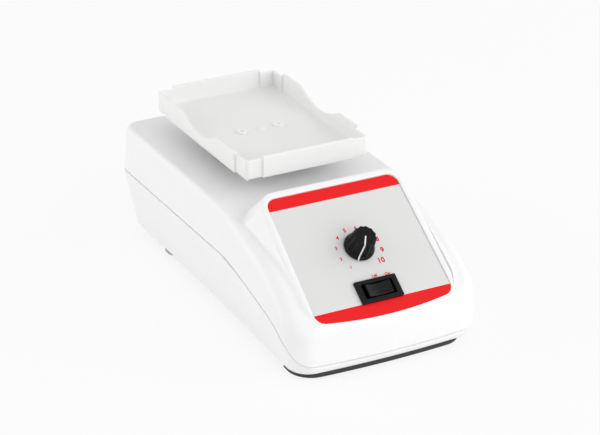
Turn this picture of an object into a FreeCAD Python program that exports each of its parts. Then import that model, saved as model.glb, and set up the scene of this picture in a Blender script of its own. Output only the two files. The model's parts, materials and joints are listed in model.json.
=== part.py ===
"""Microplate vortex mixer: a bench instrument whose tray shakes a microplate in a small orbit.

Units are millimetres. +Z is up, +Y runs to the back, the control panel faces -Y and +X is on the
right of someone who faces the panel. The origin lies under the middle of the body, on the bench.
"""
import FreeCAD, Part

import math
import os

V = FreeCAD.Vector

# Body: plan, heights, walls and seam
BODY_LENGTH = 266.0
BODY_WIDTH = 140.0
REAR_WIDTH = BODY_WIDTH - 6.0
FRONT_Y = -BODY_LENGTH / 2
REAR_Y = BODY_LENGTH / 2
CORNER_R_FRONT = 16.0
CORNER_R_REAR = 15.0
FRONT_BOW = 3.0
WALL = 2.5
UPPER_DRAFT = 0.07
DECK_Z = 79.2
TRAY_Y = REAR_Y - 87.2
DECK_FRONT_Y = TRAY_Y - 73.8
CONSOLE_SPAN = DECK_FRONT_Y - FRONT_Y
DECK_EDGE_R = 3.0
SHOULDER_R = 8.0
NOSE_R = 5.0
SEAM_REAR_Z = 48.0
SEAM_FRONT_Z = 10.0
SEAM_SIDE_Z = 26.0
SEAM_GAP = 0.6
LIP_T = 1.2

# Far reaches of the solids that trim the body
CROWN_FAR_Y = FRONT_Y - 0.0857 * CONSOLE_SPAN
NOSE_FAR_Y = FRONT_Y - 17.0
CREST_Y = DECK_FRONT_Y + 38.0
CROWN_DROP = ((0.0, 0.0), (27.0 / 105.0, 6.9), (54.0 / 105.0, 15.2), (79.0 / 105.0, 27.7),
              (98.0 / 105.0, 43.2))
CROWN_FAR_DROP = 61.0
SEAM_DROP = ((0.0, 0.0), (29.0 / 105.0, 4.4), (58.0 / 105.0, 10.8), (79.0 / 105.0, 17.0),
             (93.0 / 105.0, 26.5),
             (101.0 / 105.0, 35.5), (108.0 / 105.0, 38.6))
SEAM_FAR_DROP = 39.4
WALLS_TOP_Z = 103.0
FAR_BELOW_Z = -50.0
FAR_ABOVE_Z = 200.0

# Tub: bottom height, taper of its sides and of its front, and its lower edge
TUB_BOTTOM_Z = 4.0
TUB_TAPER_REAR = 0.18
TUB_TAPER_SIDE = 0.18
TUB_TAPER_FRONT = 0.25
TUB_HOLLOW = 1.6
TUB_EDGE_R = 7.0
TUB_PROUD = 0.3

# Control panel: a tilted plane, measured down its slope from the head of the label
LABEL_RUN = 0.748 * CONSOLE_SPAN
LABEL_FALL = 55.2
PANEL_TILT = math.degrees(math.atan2(LABEL_FALL, LABEL_RUN))
PANEL_TOP_Y = DECK_FRONT_Y - 0.2162 * CONSOLE_SPAN
PANEL_TOP_Z = 90.9
LABEL_TOP_W = BODY_WIDTH - 45.0
LABEL_END_W = LABEL_TOP_W + 4.5
LABEL_LEN = math.hypot(LABEL_RUN, LABEL_FALL)
LABEL_BOW = 4.5
LABEL_R = 7.0
LABEL_T = 0.5
LABEL_GAP = 0.25
RIM_W = 4.8
RIM_H = 0.9
RIM_R = 9.0
RIM_EDGE_R = 1.2
CONSOLE_DEPTH = 24.0
CONSOLE_SIDE_FLARE = 0.67
CONSOLE_REAR_FLARE = 0.13
CONSOLE_RUN = LABEL_LEN + 16.0

# Knob and potentiometer
KNOB_S = 0.4865 * LABEL_LEN
KNOB_SKIRT_R = 10.3
KNOB_CAP_R = 7.8
KNOB_H = 14.2
KNOB_GAP = 0.8
KNOB_FLUTES = 12
KNOB_REST_DEG = 28.0
POT_SHAFT_R = 3.0
POT_BUSH_R = 3.8
POT_BODY_R = 8.0
POT_BODY_H = 10.0
POT_NUT_AF = 10.0
POT_NUT_H = 2.0

# Rocker switch
SWITCH_S = 0.8177 * LABEL_LEN
SWITCH_W = 30.0
SWITCH_L = 16.0
SWITCH_FLANGE_H = 2.0
SWITCH_BODY_W = 26.4
SWITCH_BODY_L = 12.4
SWITCH_DEPTH = 18.0
ROCKER_W = 16.0
ROCKER_L = 9.0
ROCKER_PIVOT_N = -3.0
ROCKER_TIP_N = 3.0
ROCKER_MID_N = 1.4
ROCKER_PIN_R = 1.2
TERMINAL_DROP = 7.0

# Feet
FOOT_H = 4.0
FOOT_BAR_INSET = 4.3
FOOT_BAR_DEPTH = 24.0
FOOT_R = 10.5
FOOT_X = BODY_WIDTH / 2 - 24.0
FOOT_Y = REAR_Y - 56.0
PEG_R = 3.0
PEG_H = 4.0

# Drive: orbit, press travel and bearings
ORBIT_R = 1.8
AXIS_Y = TRAY_Y + ORBIT_R
PRESS_TRAVEL = 1.2
RUN_GAP = 0.05
SHAFT_R = 4.0
PIN_R = 5.0

# Ballast plate and its screws
BALLAST_X = 42.0
BALLAST_Y0 = FRONT_Y + 33.0
BALLAST_Y1 = REAR_Y - 33.0
BALLAST_T = 6.0
BALLAST_LIFT = 3.0
BALLAST_SCREW_X = 34.0
BALLAST_SCREW_Y = (BALLAST_Y0 + 6.0, BALLAST_Y1 - 8.0)

# Motor and its sprung cradle
MOTOR_R = 24.0
MOTOR_WALL = 1.5
MOTOR_CLEAR = 3.0
MOTOR_BELL_T = 5.5
MOTOR_TOP_T = 4.0
MOTOR_PLATE_Z = 56.0
MOTOR_PLATE_T = 4.0
MOTOR_PLATE_HALF = 39.0
POST_OFFSET = 32.0
POST_R = 3.0
POST_SEAT = 4.0
BUSH_R = 5.0
BUSH_FLANGE_R = 7.0
BUSH_FLANGE_T = 2.0
BUSH_RISE = 4.0
NUT_AF = 9.0
NUT_H = 4.0
SPRING_R = 4.9
SPRING_WIRE_R = 0.7
SPRING_TURNS = 6
BEARING_R = 8.0
BEARING_W = 5.0

# Fan, eccentric and bearing carrier
FAN_GAP = 2.6
FAN_R = 21.0
FAN_H = 4.0
FAN_BLADES = 9
HUB_R = 12.0
HUB_H = 7.0
HUB_GAP = 0.5
WEIGHT_R = 21.0
WEIGHT_H = 6.0
CARRIER_GAP = 1.0
CARRIER_R = 18.0
CARRIER_BORE_R = 11.0
CARRIER_FLANGE_R = 28.5
CARRIER_FLANGE_T = 3.2
CARRIER_WEB_T = 2.0
HEAD_BEARING_W = 7.0
CIRCLIP_T = 0.8
SKIRT_T = 2.5
SKIRT_GAP = 3.4
COLLAR_R = 22.5
COLLAR_T = 2.0
COLLAR_H = 1.0

# Tray for a standard microplate of 127.76 by 85.48
PLATE_L = 127.76
PLATE_W = 85.48
PLATE_GAP = 0.5
TRAY_Z = 92.4
TRAY_FLOOR_T = 2.2
TRAY_WALL = 2.0
TRAY_POST_H = 13.5
TRAY_PANEL_H = 15.3
TRAY_STEP = 1.6
TRAY_PANEL_L = 104.0
TRAY_PANEL_W = 67.0
TRAY_CORNER_R = 2.0
SCOOP_HALF = 29.0
SCOOP_DEPTH = 7.9
NUB_R = 1.0
NUB_H = 1.0
TRAY_SCREW_X = 14.0
TRAY_SCREW_R = 2.0
TRAY_SCREW_HEAD_R = 3.6
TRAY_SCREW_HEAD_H = 1.2
CAP_R = 3.5
CAP_H = 1.6
CAP_PEG_R = 1.5

# Housing screws, from below
HOUSING_SCREW_POINTS = ((BODY_WIDTH / 2 - 20.0, REAR_Y - 23.0), (BODY_WIDTH / 2 - 16.0, FRONT_Y + 55.0))
BOSS_R = 5.0
BOSS_SPLIT_Z = 30.0
SCREW_R = 1.9
SCREW_HEAD_R = 3.8
SCREW_HEAD_H = 2.5
SCREW_BITE = 14.0
SCREW_SINK_Z = 12.0

# Control board
BOARD_X = 34.0
BOARD_Y1 = DECK_FRONT_Y - 6.0
BOARD_Y0 = BOARD_Y1 - 52.0
BOARD_T = 1.6
STANDOFF_H = 6.0
STANDOFF_R = 3.0
BOARD_SCREW_R = 1.5
TERMINAL_X = 28.0
TERMINAL_Y = BOARD_Y1 - 16.0
TERMINAL_H = 9.0

# Touch switch under the edge of the motor plate
TOUCH_X = 33.0
TOUCH_L = 20.0
TOUCH_W = 6.4
TOUCH_H = 10.0
PLUNGER_R = 1.5
PLUNGER_RISE = 3.6
BRACKET_T = 1.5

# Mains inlet with a fuse drawer, in a pocket of the tub's rear wall
INLET_Z = 27.0
INLET_SEAT_Y = REAR_Y - 10.5
INLET_FLANGE_W = 58.0
INLET_FLANGE_H = 28.0
INLET_FLANGE_T = 2.5
INLET_BODY_W = 46.0
INLET_BODY_H = 24.0
INLET_DEPTH = 22.0
INLET_SOCKET_X = 8.0
INLET_SOCKET_W = 24.2
INLET_SOCKET_H = 16.6
INLET_SOCKET_DEPTH = 17.0
INLET_POCKET_GAP = 1.0
FUSE_X = -14.5
FUSE_W = 11.0
FUSE_H = 18.0
FUSE_GAP = 0.2
FUSE_TRAVEL = 18.0
INLET_SCREW_X = 26.0
PIN_TAIL = 4.0
LEAD_R = 1.3
LEAD_PITCH = 4.0
LEAD_SIDE_X = 18.0 - BODY_WIDTH / 2

os.makedirs("parts", exist_ok=True)


def box(x0, x1, y0, y1, z0, z1):
    """Box between two corners."""
    return Part.makeBox(x1 - x0, y1 - y0, z1 - z0, V(x0, y0, z0))


def cyl(r, z0, z1, x=0.0, y=0.0):
    """Upright round bar."""
    return Part.makeCylinder(r, z1 - z0, V(x, y, z0))


def ring(r_out, r_in, z0, z1, x=0.0, y=0.0):
    """Upright round tube."""
    return cyl(r_out, z0, z1, x, y).cut(cyl(r_in, z0 - 1.0, z1 + 1.0, x, y))


def bar(r, start, end):
    """Round bar from one point to another."""
    run = end.sub(start)
    return Part.makeCylinder(r, run.Length, start, run)


def hexagon(flat, z0, z1, x=0.0, y=0.0):
    """Upright hexagonal prism, sized across its flats."""
    r = flat / math.sqrt(3.0)
    points = [V(x + r * math.cos(math.radians(60.0 * i)), y + r * math.sin(math.radians(60.0 * i)), z0)
              for i in range(7)]
    return Part.Face(Part.makePolygon(points)).extrude(V(0, 0, z1 - z0))


def arc(centre, r, a0, a1, z):
    """Arc in a level plane, from angle a0 to a1 in radians."""
    points = [V(centre[0] + r * math.cos(a), centre[1] + r * math.sin(a), z)
              for a in (a0, 0.5 * (a0 + a1), a1)]
    return Part.Arc(*points).toShape(), points[0], points[2]


def rounded_rect(w, l, r, z, x=0.0, y=0.0):
    """Closed wire of a level rectangle with round corners."""
    corners = [(x + w / 2 - r, y + l / 2 - r, 0.0), (x - w / 2 + r, y + l / 2 - r, 90.0),
               (x - w / 2 + r, y - l / 2 + r, 180.0), (x + w / 2 - r, y - l / 2 + r, 270.0)]
    edges = []
    last = None
    first = None
    for cx, cy, a in corners:
        edge, p0, p1 = arc((cx, cy), r, math.radians(a), math.radians(a + 90.0), z)
        if last is None:
            first = p0
        else:
            edges.append(Part.LineSegment(last, p0).toShape())
        edges.append(edge)
        last = p1
    edges.append(Part.LineSegment(last, first).toShape())
    return Part.Wire(edges)


def slab(w, l, r, z0, z1, x=0.0, y=0.0):
    """Level plate with round corners."""
    return Part.Face(rounded_rect(w, l, r, z0, x, y)).extrude(V(0, 0, z1 - z0))


def mirrored(shape):
    """The shape and its mirror image across the middle plane."""
    return [shape, shape.mirror(V(0, 0, 0), V(1, 0, 0))]


def fused(shapes):
    """One solid from several that touch or overlap."""
    return shapes[0].multiFuse(shapes[1:]).removeSplitter()


def group(shapes):
    """Separate solids kept in one node."""
    return Part.makeCompound(shapes)


def edges_on(shape, surface, tol=0.02):
    """Edges of a shape whose middle and ends lie on a surface."""
    found = []
    for edge in shape.Edges:
        mid = edge.valueAt(0.5 * (edge.FirstParameter + edge.LastParameter))
        points = [mid] + [v.Point for v in edge.Vertexes]
        if all(Part.Vertex(p).distToShape(surface)[0] < tol for p in points):
            found.append(edge)
    return found


def graded_fillet(shape, edges, radius_at):
    """Fillet whose radius is radius_at(point) at both ends of each edge."""
    sheet = FreeCAD.newDocument("fillet")
    base = sheet.addObject("Part::Feature", "Base")
    base.Shape = shape
    fillet = sheet.addObject("Part::Fillet", "Fillet")
    fillet.Base = base
    marks = []
    for number, edge in enumerate(shape.Edges, 1):
        if any(edge.isSame(wanted) for wanted in edges):
            first = edge.valueAt(edge.FirstParameter)
            last = edge.valueAt(edge.LastParameter)
            marks.append((number, radius_at(first), radius_at(last)))
    fillet.Edges = marks
    sheet.recompute()
    result = fillet.Shape.copy()
    FreeCAD.closeDocument(sheet.Name)
    return result


def save(node, shape):
    """Write one sub-part."""
    shape.exportStep("parts/" + node + ".step")


# Body plan: a rear line, slightly spreading sides, a bowed front and four round corners
def plan_wire(z, half_rear, half_front, y_rear, y_front, r_rear, r_front, hollow=0.0):
    """Closed level wire of the body's plan.

    The sides run from half_rear at y_rear to half_front at y_front, and curve in by hollow between
    them. Each front corner is a circle that touches the side line and the bow, and each rear corner
    one that touches the side line and the rear line.
    """
    slope = (half_rear - half_front) / (y_rear - y_front)
    stretch = math.hypot(1.0, slope)
    normal = (1.0 / stretch, -slope / stretch)
    bow_r = (half_front ** 2 + FRONT_BOW ** 2) / (2.0 * FRONT_BOW)
    cy = y_front + r_front
    for _ in range(12):
        cx = half_front + slope * (cy - y_front) - r_front * stretch
        cy = y_front + bow_r - math.sqrt((bow_r - r_front) ** 2 - cx ** 2)
    a_side = math.atan2(normal[1], normal[0])
    a_bow = math.atan2(cy - (y_front + bow_r), cx)
    ry = y_rear - r_rear
    rx = half_front + slope * (ry - y_front) - r_rear * stretch
    right_rear, p_rr0, p_rr1 = arc((rx, ry), r_rear, a_side, math.pi / 2.0, z)
    left_rear, p_lr0, p_lr1 = arc((-rx, ry), r_rear, math.pi / 2.0, math.pi - a_side, z)
    left_front, p_lf0, p_lf1 = arc((-cx, cy), r_front, math.pi - a_side, math.pi - a_bow, z)
    right_front, p_rf0, p_rf1 = arc((cx, cy), r_front, a_bow, a_side, z)
    front = Part.Arc(p_lf1, V(0, y_front, z), p_rf0).toShape()
    rear = Part.LineSegment(p_rr1, p_lr0).toShape()
    left = Part.LineSegment(p_lr1, p_lf0).toShape()
    right = Part.LineSegment(p_rf1, p_rr0).toShape()
    if hollow > 0.0:
        waist = 0.5 * (p_rf1.x + p_rr0.x) - hollow
        mid_y = 0.5 * (p_rf1.y + p_rr0.y)
        left = Part.Arc(p_lr1, V(-waist, mid_y, z), p_lf0).toShape()
        right = Part.Arc(p_rf1, V(waist, mid_y, z), p_rr0).toShape()
    return Part.Wire([right_rear, rear, left_rear, left, left_front, front, right_front, right])


def upper_walls(z0, z1, inset):
    """Solid inside the upper housing's drafted walls."""
    wires = []
    for z in (z0, z1):
        d = inset + UPPER_DRAFT * (z - SEAM_REAR_Z)
        half_front = BODY_WIDTH / 2 - UPPER_DRAFT * (SEAM_REAR_Z - SEAM_SIDE_Z)
        y_front = -BODY_LENGTH / 2 + UPPER_DRAFT * (SEAM_REAR_Z - SEAM_FRONT_Z)
        wires.append(plan_wire(z, REAR_WIDTH / 2 - d, half_front - d, BODY_LENGTH / 2 - d, y_front + d,
                               CORNER_R_REAR - d, CORNER_R_FRONT - d))
    return Part.makeLoft(wires, True, True)


def tub_sizes(z, inset):
    """Half widths, rear and front of the tub's plan at one height."""
    half_rear = REAR_WIDTH / 2 + TUB_TAPER_REAR * (z - SEAM_REAR_Z) - inset
    half_front = BODY_WIDTH / 2 + TUB_TAPER_SIDE * (z - SEAM_SIDE_Z) - inset
    y_rear = BODY_LENGTH / 2 + TUB_TAPER_REAR * (z - SEAM_REAR_Z) - inset
    y_front = -BODY_LENGTH / 2 - TUB_TAPER_FRONT * (z - SEAM_FRONT_Z) + inset
    return half_rear, half_front, y_rear, y_front


def tub_walls(z0, z1, inset, edge_r):
    """Solid inside the tub's walls, which spread upwards from a flat bottom."""
    wires = []
    for z in (z0, z1):
        half_rear, half_front, y_rear, y_front = tub_sizes(z, inset)
        hollow = TUB_HOLLOW * (z1 - z) / (z1 - z0) + 0.01
        wires.append(plan_wire(z, half_rear, half_front, y_rear, y_front,
                               CORNER_R_REAR - inset, CORNER_R_FRONT - inset, hollow))
    solid = Part.makeLoft(wires, True, True)
    bottom = Part.Face(wires[0])
    return solid.makeFillet(edge_r, edges_on(solid, bottom))


def side_prism(edges, y_far, z_far, half):
    """Solid swept across the body from a side profile that is closed far below it."""
    first = edges[0].Vertexes[0].Point
    last = edges[-1].Vertexes[-1].Point
    close = Part.makePolygon([last, V(-half, y_far, z_far), V(-half, first.y, z_far), first])
    return Part.Face(Part.Wire(edges + close.Edges)).extrude(V(2.0 * half, 0, 0))


def spline(points, half):
    """Smooth edge in the side plane at x = -half, through y, z pairs."""
    curve = Part.BSplineCurve()
    curve.interpolate([V(-half, y, z) for y, z in points])
    return curve.toShape()


def top_profile(inset):
    """Edges of the body's side profile: a level deck, then a slope that steepens to the nose."""
    half = BODY_WIDTH
    far = BODY_LENGTH / 2 + 20.0
    level = Part.LineSegment(V(-half, far, DECK_Z - inset),
                             V(-half, DECK_FRONT_Y, DECK_Z - inset)).toShape()
    points = [(DECK_FRONT_Y - run * CONSOLE_SPAN, DECK_Z - inset - drop) for run, drop in CROWN_DROP]
    points.append((CROWN_FAR_Y, DECK_Z - inset - CROWN_FAR_DROP))
    return [level, spline(points, half)]


def seam_profile(shift):
    """Edges of the seam's side profile: level at the rear, falling in an S to the nose."""
    half = BODY_WIDTH
    far = BODY_LENGTH / 2 + 20.0
    z = SEAM_REAR_Z + shift
    level = Part.LineSegment(V(-half, far, z), V(-half, DECK_FRONT_Y, z)).toShape()
    points = [(DECK_FRONT_Y - run * CONSOLE_SPAN, z - drop) for run, drop in SEAM_DROP]
    points.append((NOSE_FAR_Y, z - SEAM_FAR_DROP))
    return [level, spline(points, half)]


# Panel plane: x across, y up the slope, z out of the panel
PANEL = FreeCAD.Placement(V(0, PANEL_TOP_Y, PANEL_TOP_Z), FreeCAD.Rotation(V(1, 0, 0), PANEL_TILT))


def on_panel(shape):
    """Move a shape from panel coordinates to the body's."""
    placed = shape.copy()
    placed.transformShape(PANEL.toMatrix())
    return placed


def frame_wire(n, side, rear, r):
    """Closed wire of the console's outline at height n over the panel."""
    top = RIM_W + rear
    end = -CONSOLE_RUN
    spread = (LABEL_END_W - LABEL_TOP_W) / 2.0 / LABEL_LEN
    half_top = LABEL_TOP_W / 2 + RIM_W + side
    half_end = half_top + spread * (top - end)
    lean = math.atan2(half_end - half_top, top - end)
    cy = top - r
    cx = half_top + spread * (top - cy) - r * math.hypot(1.0, spread)
    right, p0, p1 = arc((cx, cy), r, lean, math.pi / 2, n)
    left, q0, q1 = arc((-cx, cy), r, math.pi / 2, math.pi - lean, n)
    low_right = V(half_end, end, n)
    low_left = V(-half_end, end, n)
    lines = [Part.LineSegment(a, b).toShape() for a, b in
             ((p1, q0), (q1, low_left), (low_left, low_right), (low_right, p0))]
    return Part.Wire([right, lines[0], left, lines[1], lines[2], lines[3]])


def console(inset):
    """Block of the sloping console, its flanks spreading to the shoulders."""
    head = RIM_H if inset == 0.0 else -LABEL_T - WALL
    wires = []
    for n in (head, -CONSOLE_DEPTH):
        drop = RIM_H - n
        wires.append(frame_wire(n, CONSOLE_SIDE_FLARE * drop - inset, CONSOLE_REAR_FLARE * drop - inset,
                                RIM_R + CONSOLE_REAR_FLARE * drop))
    block = Part.makeLoft(wires, True, True)
    if inset == 0.0:
        block = block.makeFillet(RIM_EDGE_R, edges_on(block, Part.Face(wires[0])))
    return on_panel(block)


def shoulder_radius(point):
    """Radius of the shoulder's roll, which grows from the deck to the nose."""
    if point.y > DECK_FRONT_Y - 1.0:
        return DECK_EDGE_R
    return SHOULDER_R


def panel_line(lift, y0, y1):
    """Edge of the side profile that runs lift over the panel."""
    tilt = math.radians(PANEL_TILT)
    z0, z1 = [PANEL_TOP_Z + lift / math.cos(tilt) + (y - PANEL_TOP_Y) * math.tan(tilt) for y in (y0, y1)]
    return Part.LineSegment(V(-BODY_WIDTH, y1, z1), V(-BODY_WIDTH, y0, z0)).toShape()


def nose_block(walls):
    """Space under the panel's plane with a rounded upper edge at the front."""
    edge = panel_line(RIM_H, NOSE_FAR_Y, CREST_Y)
    block = walls.common(side_prism([edge], NOSE_FAR_Y, FAR_BELOW_Z, BODY_WIDTH))
    plane = edge.extrude(V(2.0 * BODY_WIDTH, 0, 0))
    front = [e for e in edges_on(block,
                                 plane) if min(v.Point.y for v in e.Vertexes) < PANEL_TOP_Y - LABEL_LEN / 2]
    return block.makeFillet(NOSE_R, front)


def body_solid(inset):
    """The whole body as one solid, set in by a wall thickness for its inside."""
    walls = upper_walls(TUB_BOTTOM_Z, WALLS_TOP_Z, inset)
    crown = side_prism(top_profile(inset), CROWN_FAR_Y, FAR_BELOW_Z, BODY_WIDTH)
    shell = walls.common(crown)
    roof = Part.Wire(top_profile(inset)).extrude(V(2.0 * BODY_WIDTH, 0, 0))
    if inset == 0.0:
        shell = graded_fillet(shell, edges_on(shell, roof), shoulder_radius)
        raised = console(inset).common(nose_block(walls))
    else:
        shell = shell.makeFillet(SHOULDER_R - inset, edges_on(shell, roof))
        raised = console(inset).common(walls)
    shell = shell.fuse(raised)
    tub = tub_walls(TUB_BOTTOM_Z + inset, WALLS_TOP_Z, inset - TUB_PROUD, TUB_EDGE_R - min(inset, 1.0))
    return shell.common(tub)


def seam_block(shift, above):
    """Everything above or below the seam, moved up by shift."""
    z_far = FAR_ABOVE_Z if above else FAR_BELOW_Z
    return side_prism(seam_profile(shift), NOSE_FAR_Y, z_far, BODY_WIDTH)


OUTER = body_solid(0.0)
INNER = body_solid(WALL)
SHELL = OUTER.cut(INNER)
SCREW_XY = [(sx * x, y) for x, y in HOUSING_SCREW_POINTS for sx in (1, -1)]
UPPER_ZONE = seam_block(SEAM_GAP / 2, True)
LOWER_ZONE = seam_block(-SEAM_GAP / 2, False)
FLOOR_TOP_Z = TUB_BOTTOM_Z + WALL
BALLAST_Z0 = FLOOR_TOP_Z + BALLAST_LIFT
BALLAST_Z1 = BALLAST_Z0 + BALLAST_T
POST_XY = [(sx * POST_OFFSET, AXIS_Y + sy * POST_OFFSET) for sx in (1, -1) for sy in (1, -1)]
TRAY_L = PLATE_L + 2.0 * (PLATE_GAP + TRAY_WALL)
TRAY_W = PLATE_W + 2.0 * (PLATE_GAP + TRAY_WALL)
TRAY_TOP_Z = TRAY_Z + TRAY_PANEL_H
FLOOR_Z = TRAY_Z + TRAY_FLOOR_T


# Label outline, shared by the label and the pocket that holds it
def label_face(gap, n):
    """Face of the label: rounded head, sides that spread down the slope, and a bowed foot."""
    half_top = LABEL_TOP_W / 2 + gap
    half_end = LABEL_END_W / 2 + gap
    top = gap
    end = -(LABEL_LEN + gap)
    side_end = end + LABEL_BOW
    r = LABEL_R
    k = 1.0 - math.sqrt(0.5)
    spread = (half_end - half_top) / (top - side_end)
    low = (half_end - spread * r, side_end + 0.4 * r)
    points = [V(half_top - r, top, n), V(half_top - k * r, top - k * r, n),
              V(half_top + spread * r, top - r, n),
              V(low[0], low[1] + r, n), V(low[0] - k * r, side_end + 0.85 * k * r, n),
              V(low[0] - 1.25 * r, side_end - 0.28 * r, n), V(0, end, n)]
    flip = [V(-p.x, p.y, p.z) for p in points]
    edges = [Part.LineSegment(flip[0], points[0]).toShape(),
             Part.Arc(points[0], points[1], points[2]).toShape(),
             Part.LineSegment(points[2], points[3]).toShape(),
             Part.Arc(points[3], points[4], points[5]).toShape(),
             Part.Arc(points[5], points[6], flip[5]).toShape(),
             Part.Arc(flip[5], flip[4], flip[3]).toShape(),
             Part.LineSegment(flip[3], flip[2]).toShape(),
             Part.Arc(flip[2], flip[1], flip[0]).toShape()]
    return Part.Face(Part.Wire(edges))


def switch_hole(n0, n1, gap):
    """Rectangular hole that the switch body passes through, in panel coordinates."""
    return box(-SWITCH_BODY_W / 2 - gap, SWITCH_BODY_W / 2 + gap, -SWITCH_S - SWITCH_BODY_L / 2 - gap,
               -SWITCH_S + SWITCH_BODY_L / 2 + gap, n0, n1)


def panel_holes(n0, n1):
    """Holes for the potentiometer bush and for the switch."""
    return [cyl(POT_BUSH_R + 0.1, n0, n1, 0.0, -KNOB_S), switch_hole(n0, n1, 0.2)]


def upper_housing():
    """Top shell: deck, collar round the drive opening, console, panel pocket and screw bosses."""
    shell = SHELL.common(UPPER_ZONE)
    inner_deck = DECK_Z - WALL
    bosses = [cyl(BOSS_R, BOSS_SPLIT_Z, DECK_Z, x, y).common(INNER) for x, y in SCREW_XY]
    collar = cyl(COLLAR_R + COLLAR_T, inner_deck, DECK_Z + COLLAR_H, 0.0, AXIS_Y)
    shell = shell.multiFuse(bosses + [collar])
    pocket = on_panel(label_face(LABEL_GAP, -LABEL_T).extrude(V(0, 0, LABEL_T + RIM_H + 4.0)))
    opening = cyl(COLLAR_R, inner_deck - 1.0, DECK_Z + COLLAR_H + 1.0, 0.0, AXIS_Y)
    pilots = [cyl(SCREW_R, BOSS_SPLIT_Z - 1.0, BOSS_SPLIT_Z + SCREW_BITE + 1.0, x, y) for x, y in SCREW_XY]
    cuts = [pocket, opening] + [on_panel(h) for h in panel_holes(-20.0, 5.0)] + pilots
    return shell.cut(group(cuts))


def inlet_plate(w, h, gap, y0, y1):
    """Upright rectangular block round the mains inlet's centre."""
    return box(-w / 2 - gap, w / 2 + gap, y0, y1, INLET_Z - h / 2 - gap, INLET_Z + h / 2 + gap)


def lower_housing():
    """Tub: tapered walls, a lip behind the seam, ballast bosses, screw bosses and the inlet's pocket."""
    shell = SHELL.common(LOWER_ZONE)
    lip = body_solid(LIP_T).cut(INNER).common(seam_block(SEAM_GAP / 2, False))
    lip = lip.cut(LOWER_ZONE)
    bosses = [cyl(BOSS_R, FLOOR_TOP_Z - 0.5, BOSS_SPLIT_Z, x, y) for x, y in SCREW_XY]
    pads = [cyl(BOSS_R, FLOOR_TOP_Z - 0.5, BALLAST_Z0, sx * BALLAST_SCREW_X, y)
            for sx in (1, -1) for y in BALLAST_SCREW_Y]
    frame = inlet_plate(INLET_FLANGE_W, INLET_FLANGE_H, INLET_POCKET_GAP + WALL,
                        INLET_SEAT_Y - WALL, BODY_LENGTH / 2).common(OUTER).common(LOWER_ZONE)
    tub = shell.multiFuse([lip] + bosses + pads + [frame])
    pocket = inlet_plate(INLET_FLANGE_W, INLET_FLANGE_H, INLET_POCKET_GAP, INLET_SEAT_Y, BODY_LENGTH)
    cutout = inlet_plate(INLET_BODY_W, INLET_BODY_H, 0.2, INLET_SEAT_Y - 20.0, INLET_SEAT_Y + 1.0)
    pilots = [bar(SCREW_R - 0.4, V(sx * INLET_SCREW_X, INLET_SEAT_Y - WALL - 1.0, INLET_Z),
                  V(sx * INLET_SCREW_X, INLET_SEAT_Y + 1.0, INLET_Z)) for sx in (1, -1)]
    pad_holes = [cyl(SCREW_R, FLOOR_TOP_Z - 1.0, BALLAST_Z0 + 1.0, sx * BALLAST_SCREW_X, y)
                 for sx in (1, -1) for y in BALLAST_SCREW_Y]
    sinks = [cyl(SCREW_HEAD_R + 0.4, 0.0, SCREW_SINK_Z, x, y) for x, y in SCREW_XY]
    clears = [cyl(SCREW_R + 0.2, 0.0, BOSS_SPLIT_Z + 1.0, x, y) for x, y in SCREW_XY]
    pegs = [cyl(PEG_R, 0.0, FLOOR_TOP_Z + 1.0, x, y) for x, y in PEG_XY]
    return tub.cut(group([pocket, cutout] + pilots + pad_holes + sinks + clears + pegs))


# Feet: a bar across the front and two round feet at the rear, each on pegs through the tub's floor
BAR_Y0 = -BODY_LENGTH / 2 + TUB_TAPER_FRONT * (SEAM_FRONT_Z - TUB_BOTTOM_Z) + FOOT_BAR_INSET
PEG_XY = [(sx * FOOT_X, FOOT_Y) for sx in (1, -1)]
PEG_XY += [(sx * FOOT_X, BAR_Y0 + FOOT_BAR_DEPTH / 2) for sx in (1, -1)]


def front_foot_bar():
    """Rubber bar that follows the plan of the tub's front."""
    half_rear, half_front, y_rear, y_front = tub_sizes(TUB_BOTTOM_Z, FOOT_BAR_INSET)
    plan = plan_wire(0.0, half_rear, half_front, y_rear, y_front, CORNER_R_REAR, CORNER_R_FRONT)
    pad = Part.Face(plan).extrude(V(0, 0, FOOT_H))
    front = box(-BODY_WIDTH, BODY_WIDTH, -BODY_LENGTH, BAR_Y0 + FOOT_BAR_DEPTH, -1.0, FOOT_H + 1.0)
    pegs = [cyl(PEG_R, FOOT_H - 0.5, FOOT_H + PEG_H, x, y) for x, y in PEG_XY if y < 0]
    return fused([pad.common(front)] + pegs)


def rear_feet():
    """Two round rubber feet with a rounded lower edge."""
    feet = []
    for x, y in PEG_XY:
        if y > 0:
            foot = cyl(FOOT_R, 0.0, FOOT_H, x, y)
            low = [e for e in foot.Edges if e.BoundBox.ZMax < 0.1 and e.Closed]
            foot = foot.makeFillet(1.0, low)
            feet.append(fused([foot, cyl(PEG_R, FOOT_H - 0.5, FOOT_H + PEG_H, x, y)]))
    return group(feet)


def screw(x, y, z_seat, r, head_r, head_h, length, up):
    """Pan-head screw with its head's seat at z_seat; up tells which way the shank points."""
    if up:
        return fused([cyl(head_r, z_seat - head_h, z_seat, x, y),
                      cyl(r, z_seat - 0.1, z_seat + length, x, y)])
    return fused([cyl(head_r, z_seat, z_seat + head_h, x, y), cyl(r, z_seat - length, z_seat + 0.1, x, y)])


def base_plate():
    """Steel ballast plate with holes for its screws and seats for the guide posts."""
    length = BALLAST_Y1 - BALLAST_Y0
    mid = 0.5 * (BALLAST_Y1 + BALLAST_Y0)
    plate = slab(2 * BALLAST_X, length, 8.0, BALLAST_Z0, BALLAST_Z1, 0.0, mid)
    holes = [cyl(SCREW_R + 0.2, 0.0, 30.0, sx * BALLAST_SCREW_X, y)
             for sx in (1, -1) for y in BALLAST_SCREW_Y]
    seats = [cyl(POST_R, BALLAST_Z1 - POST_SEAT, BALLAST_Z1 + 1.0, x, y) for x, y in POST_XY]
    return plate.cut(group(holes + seats))


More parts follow.
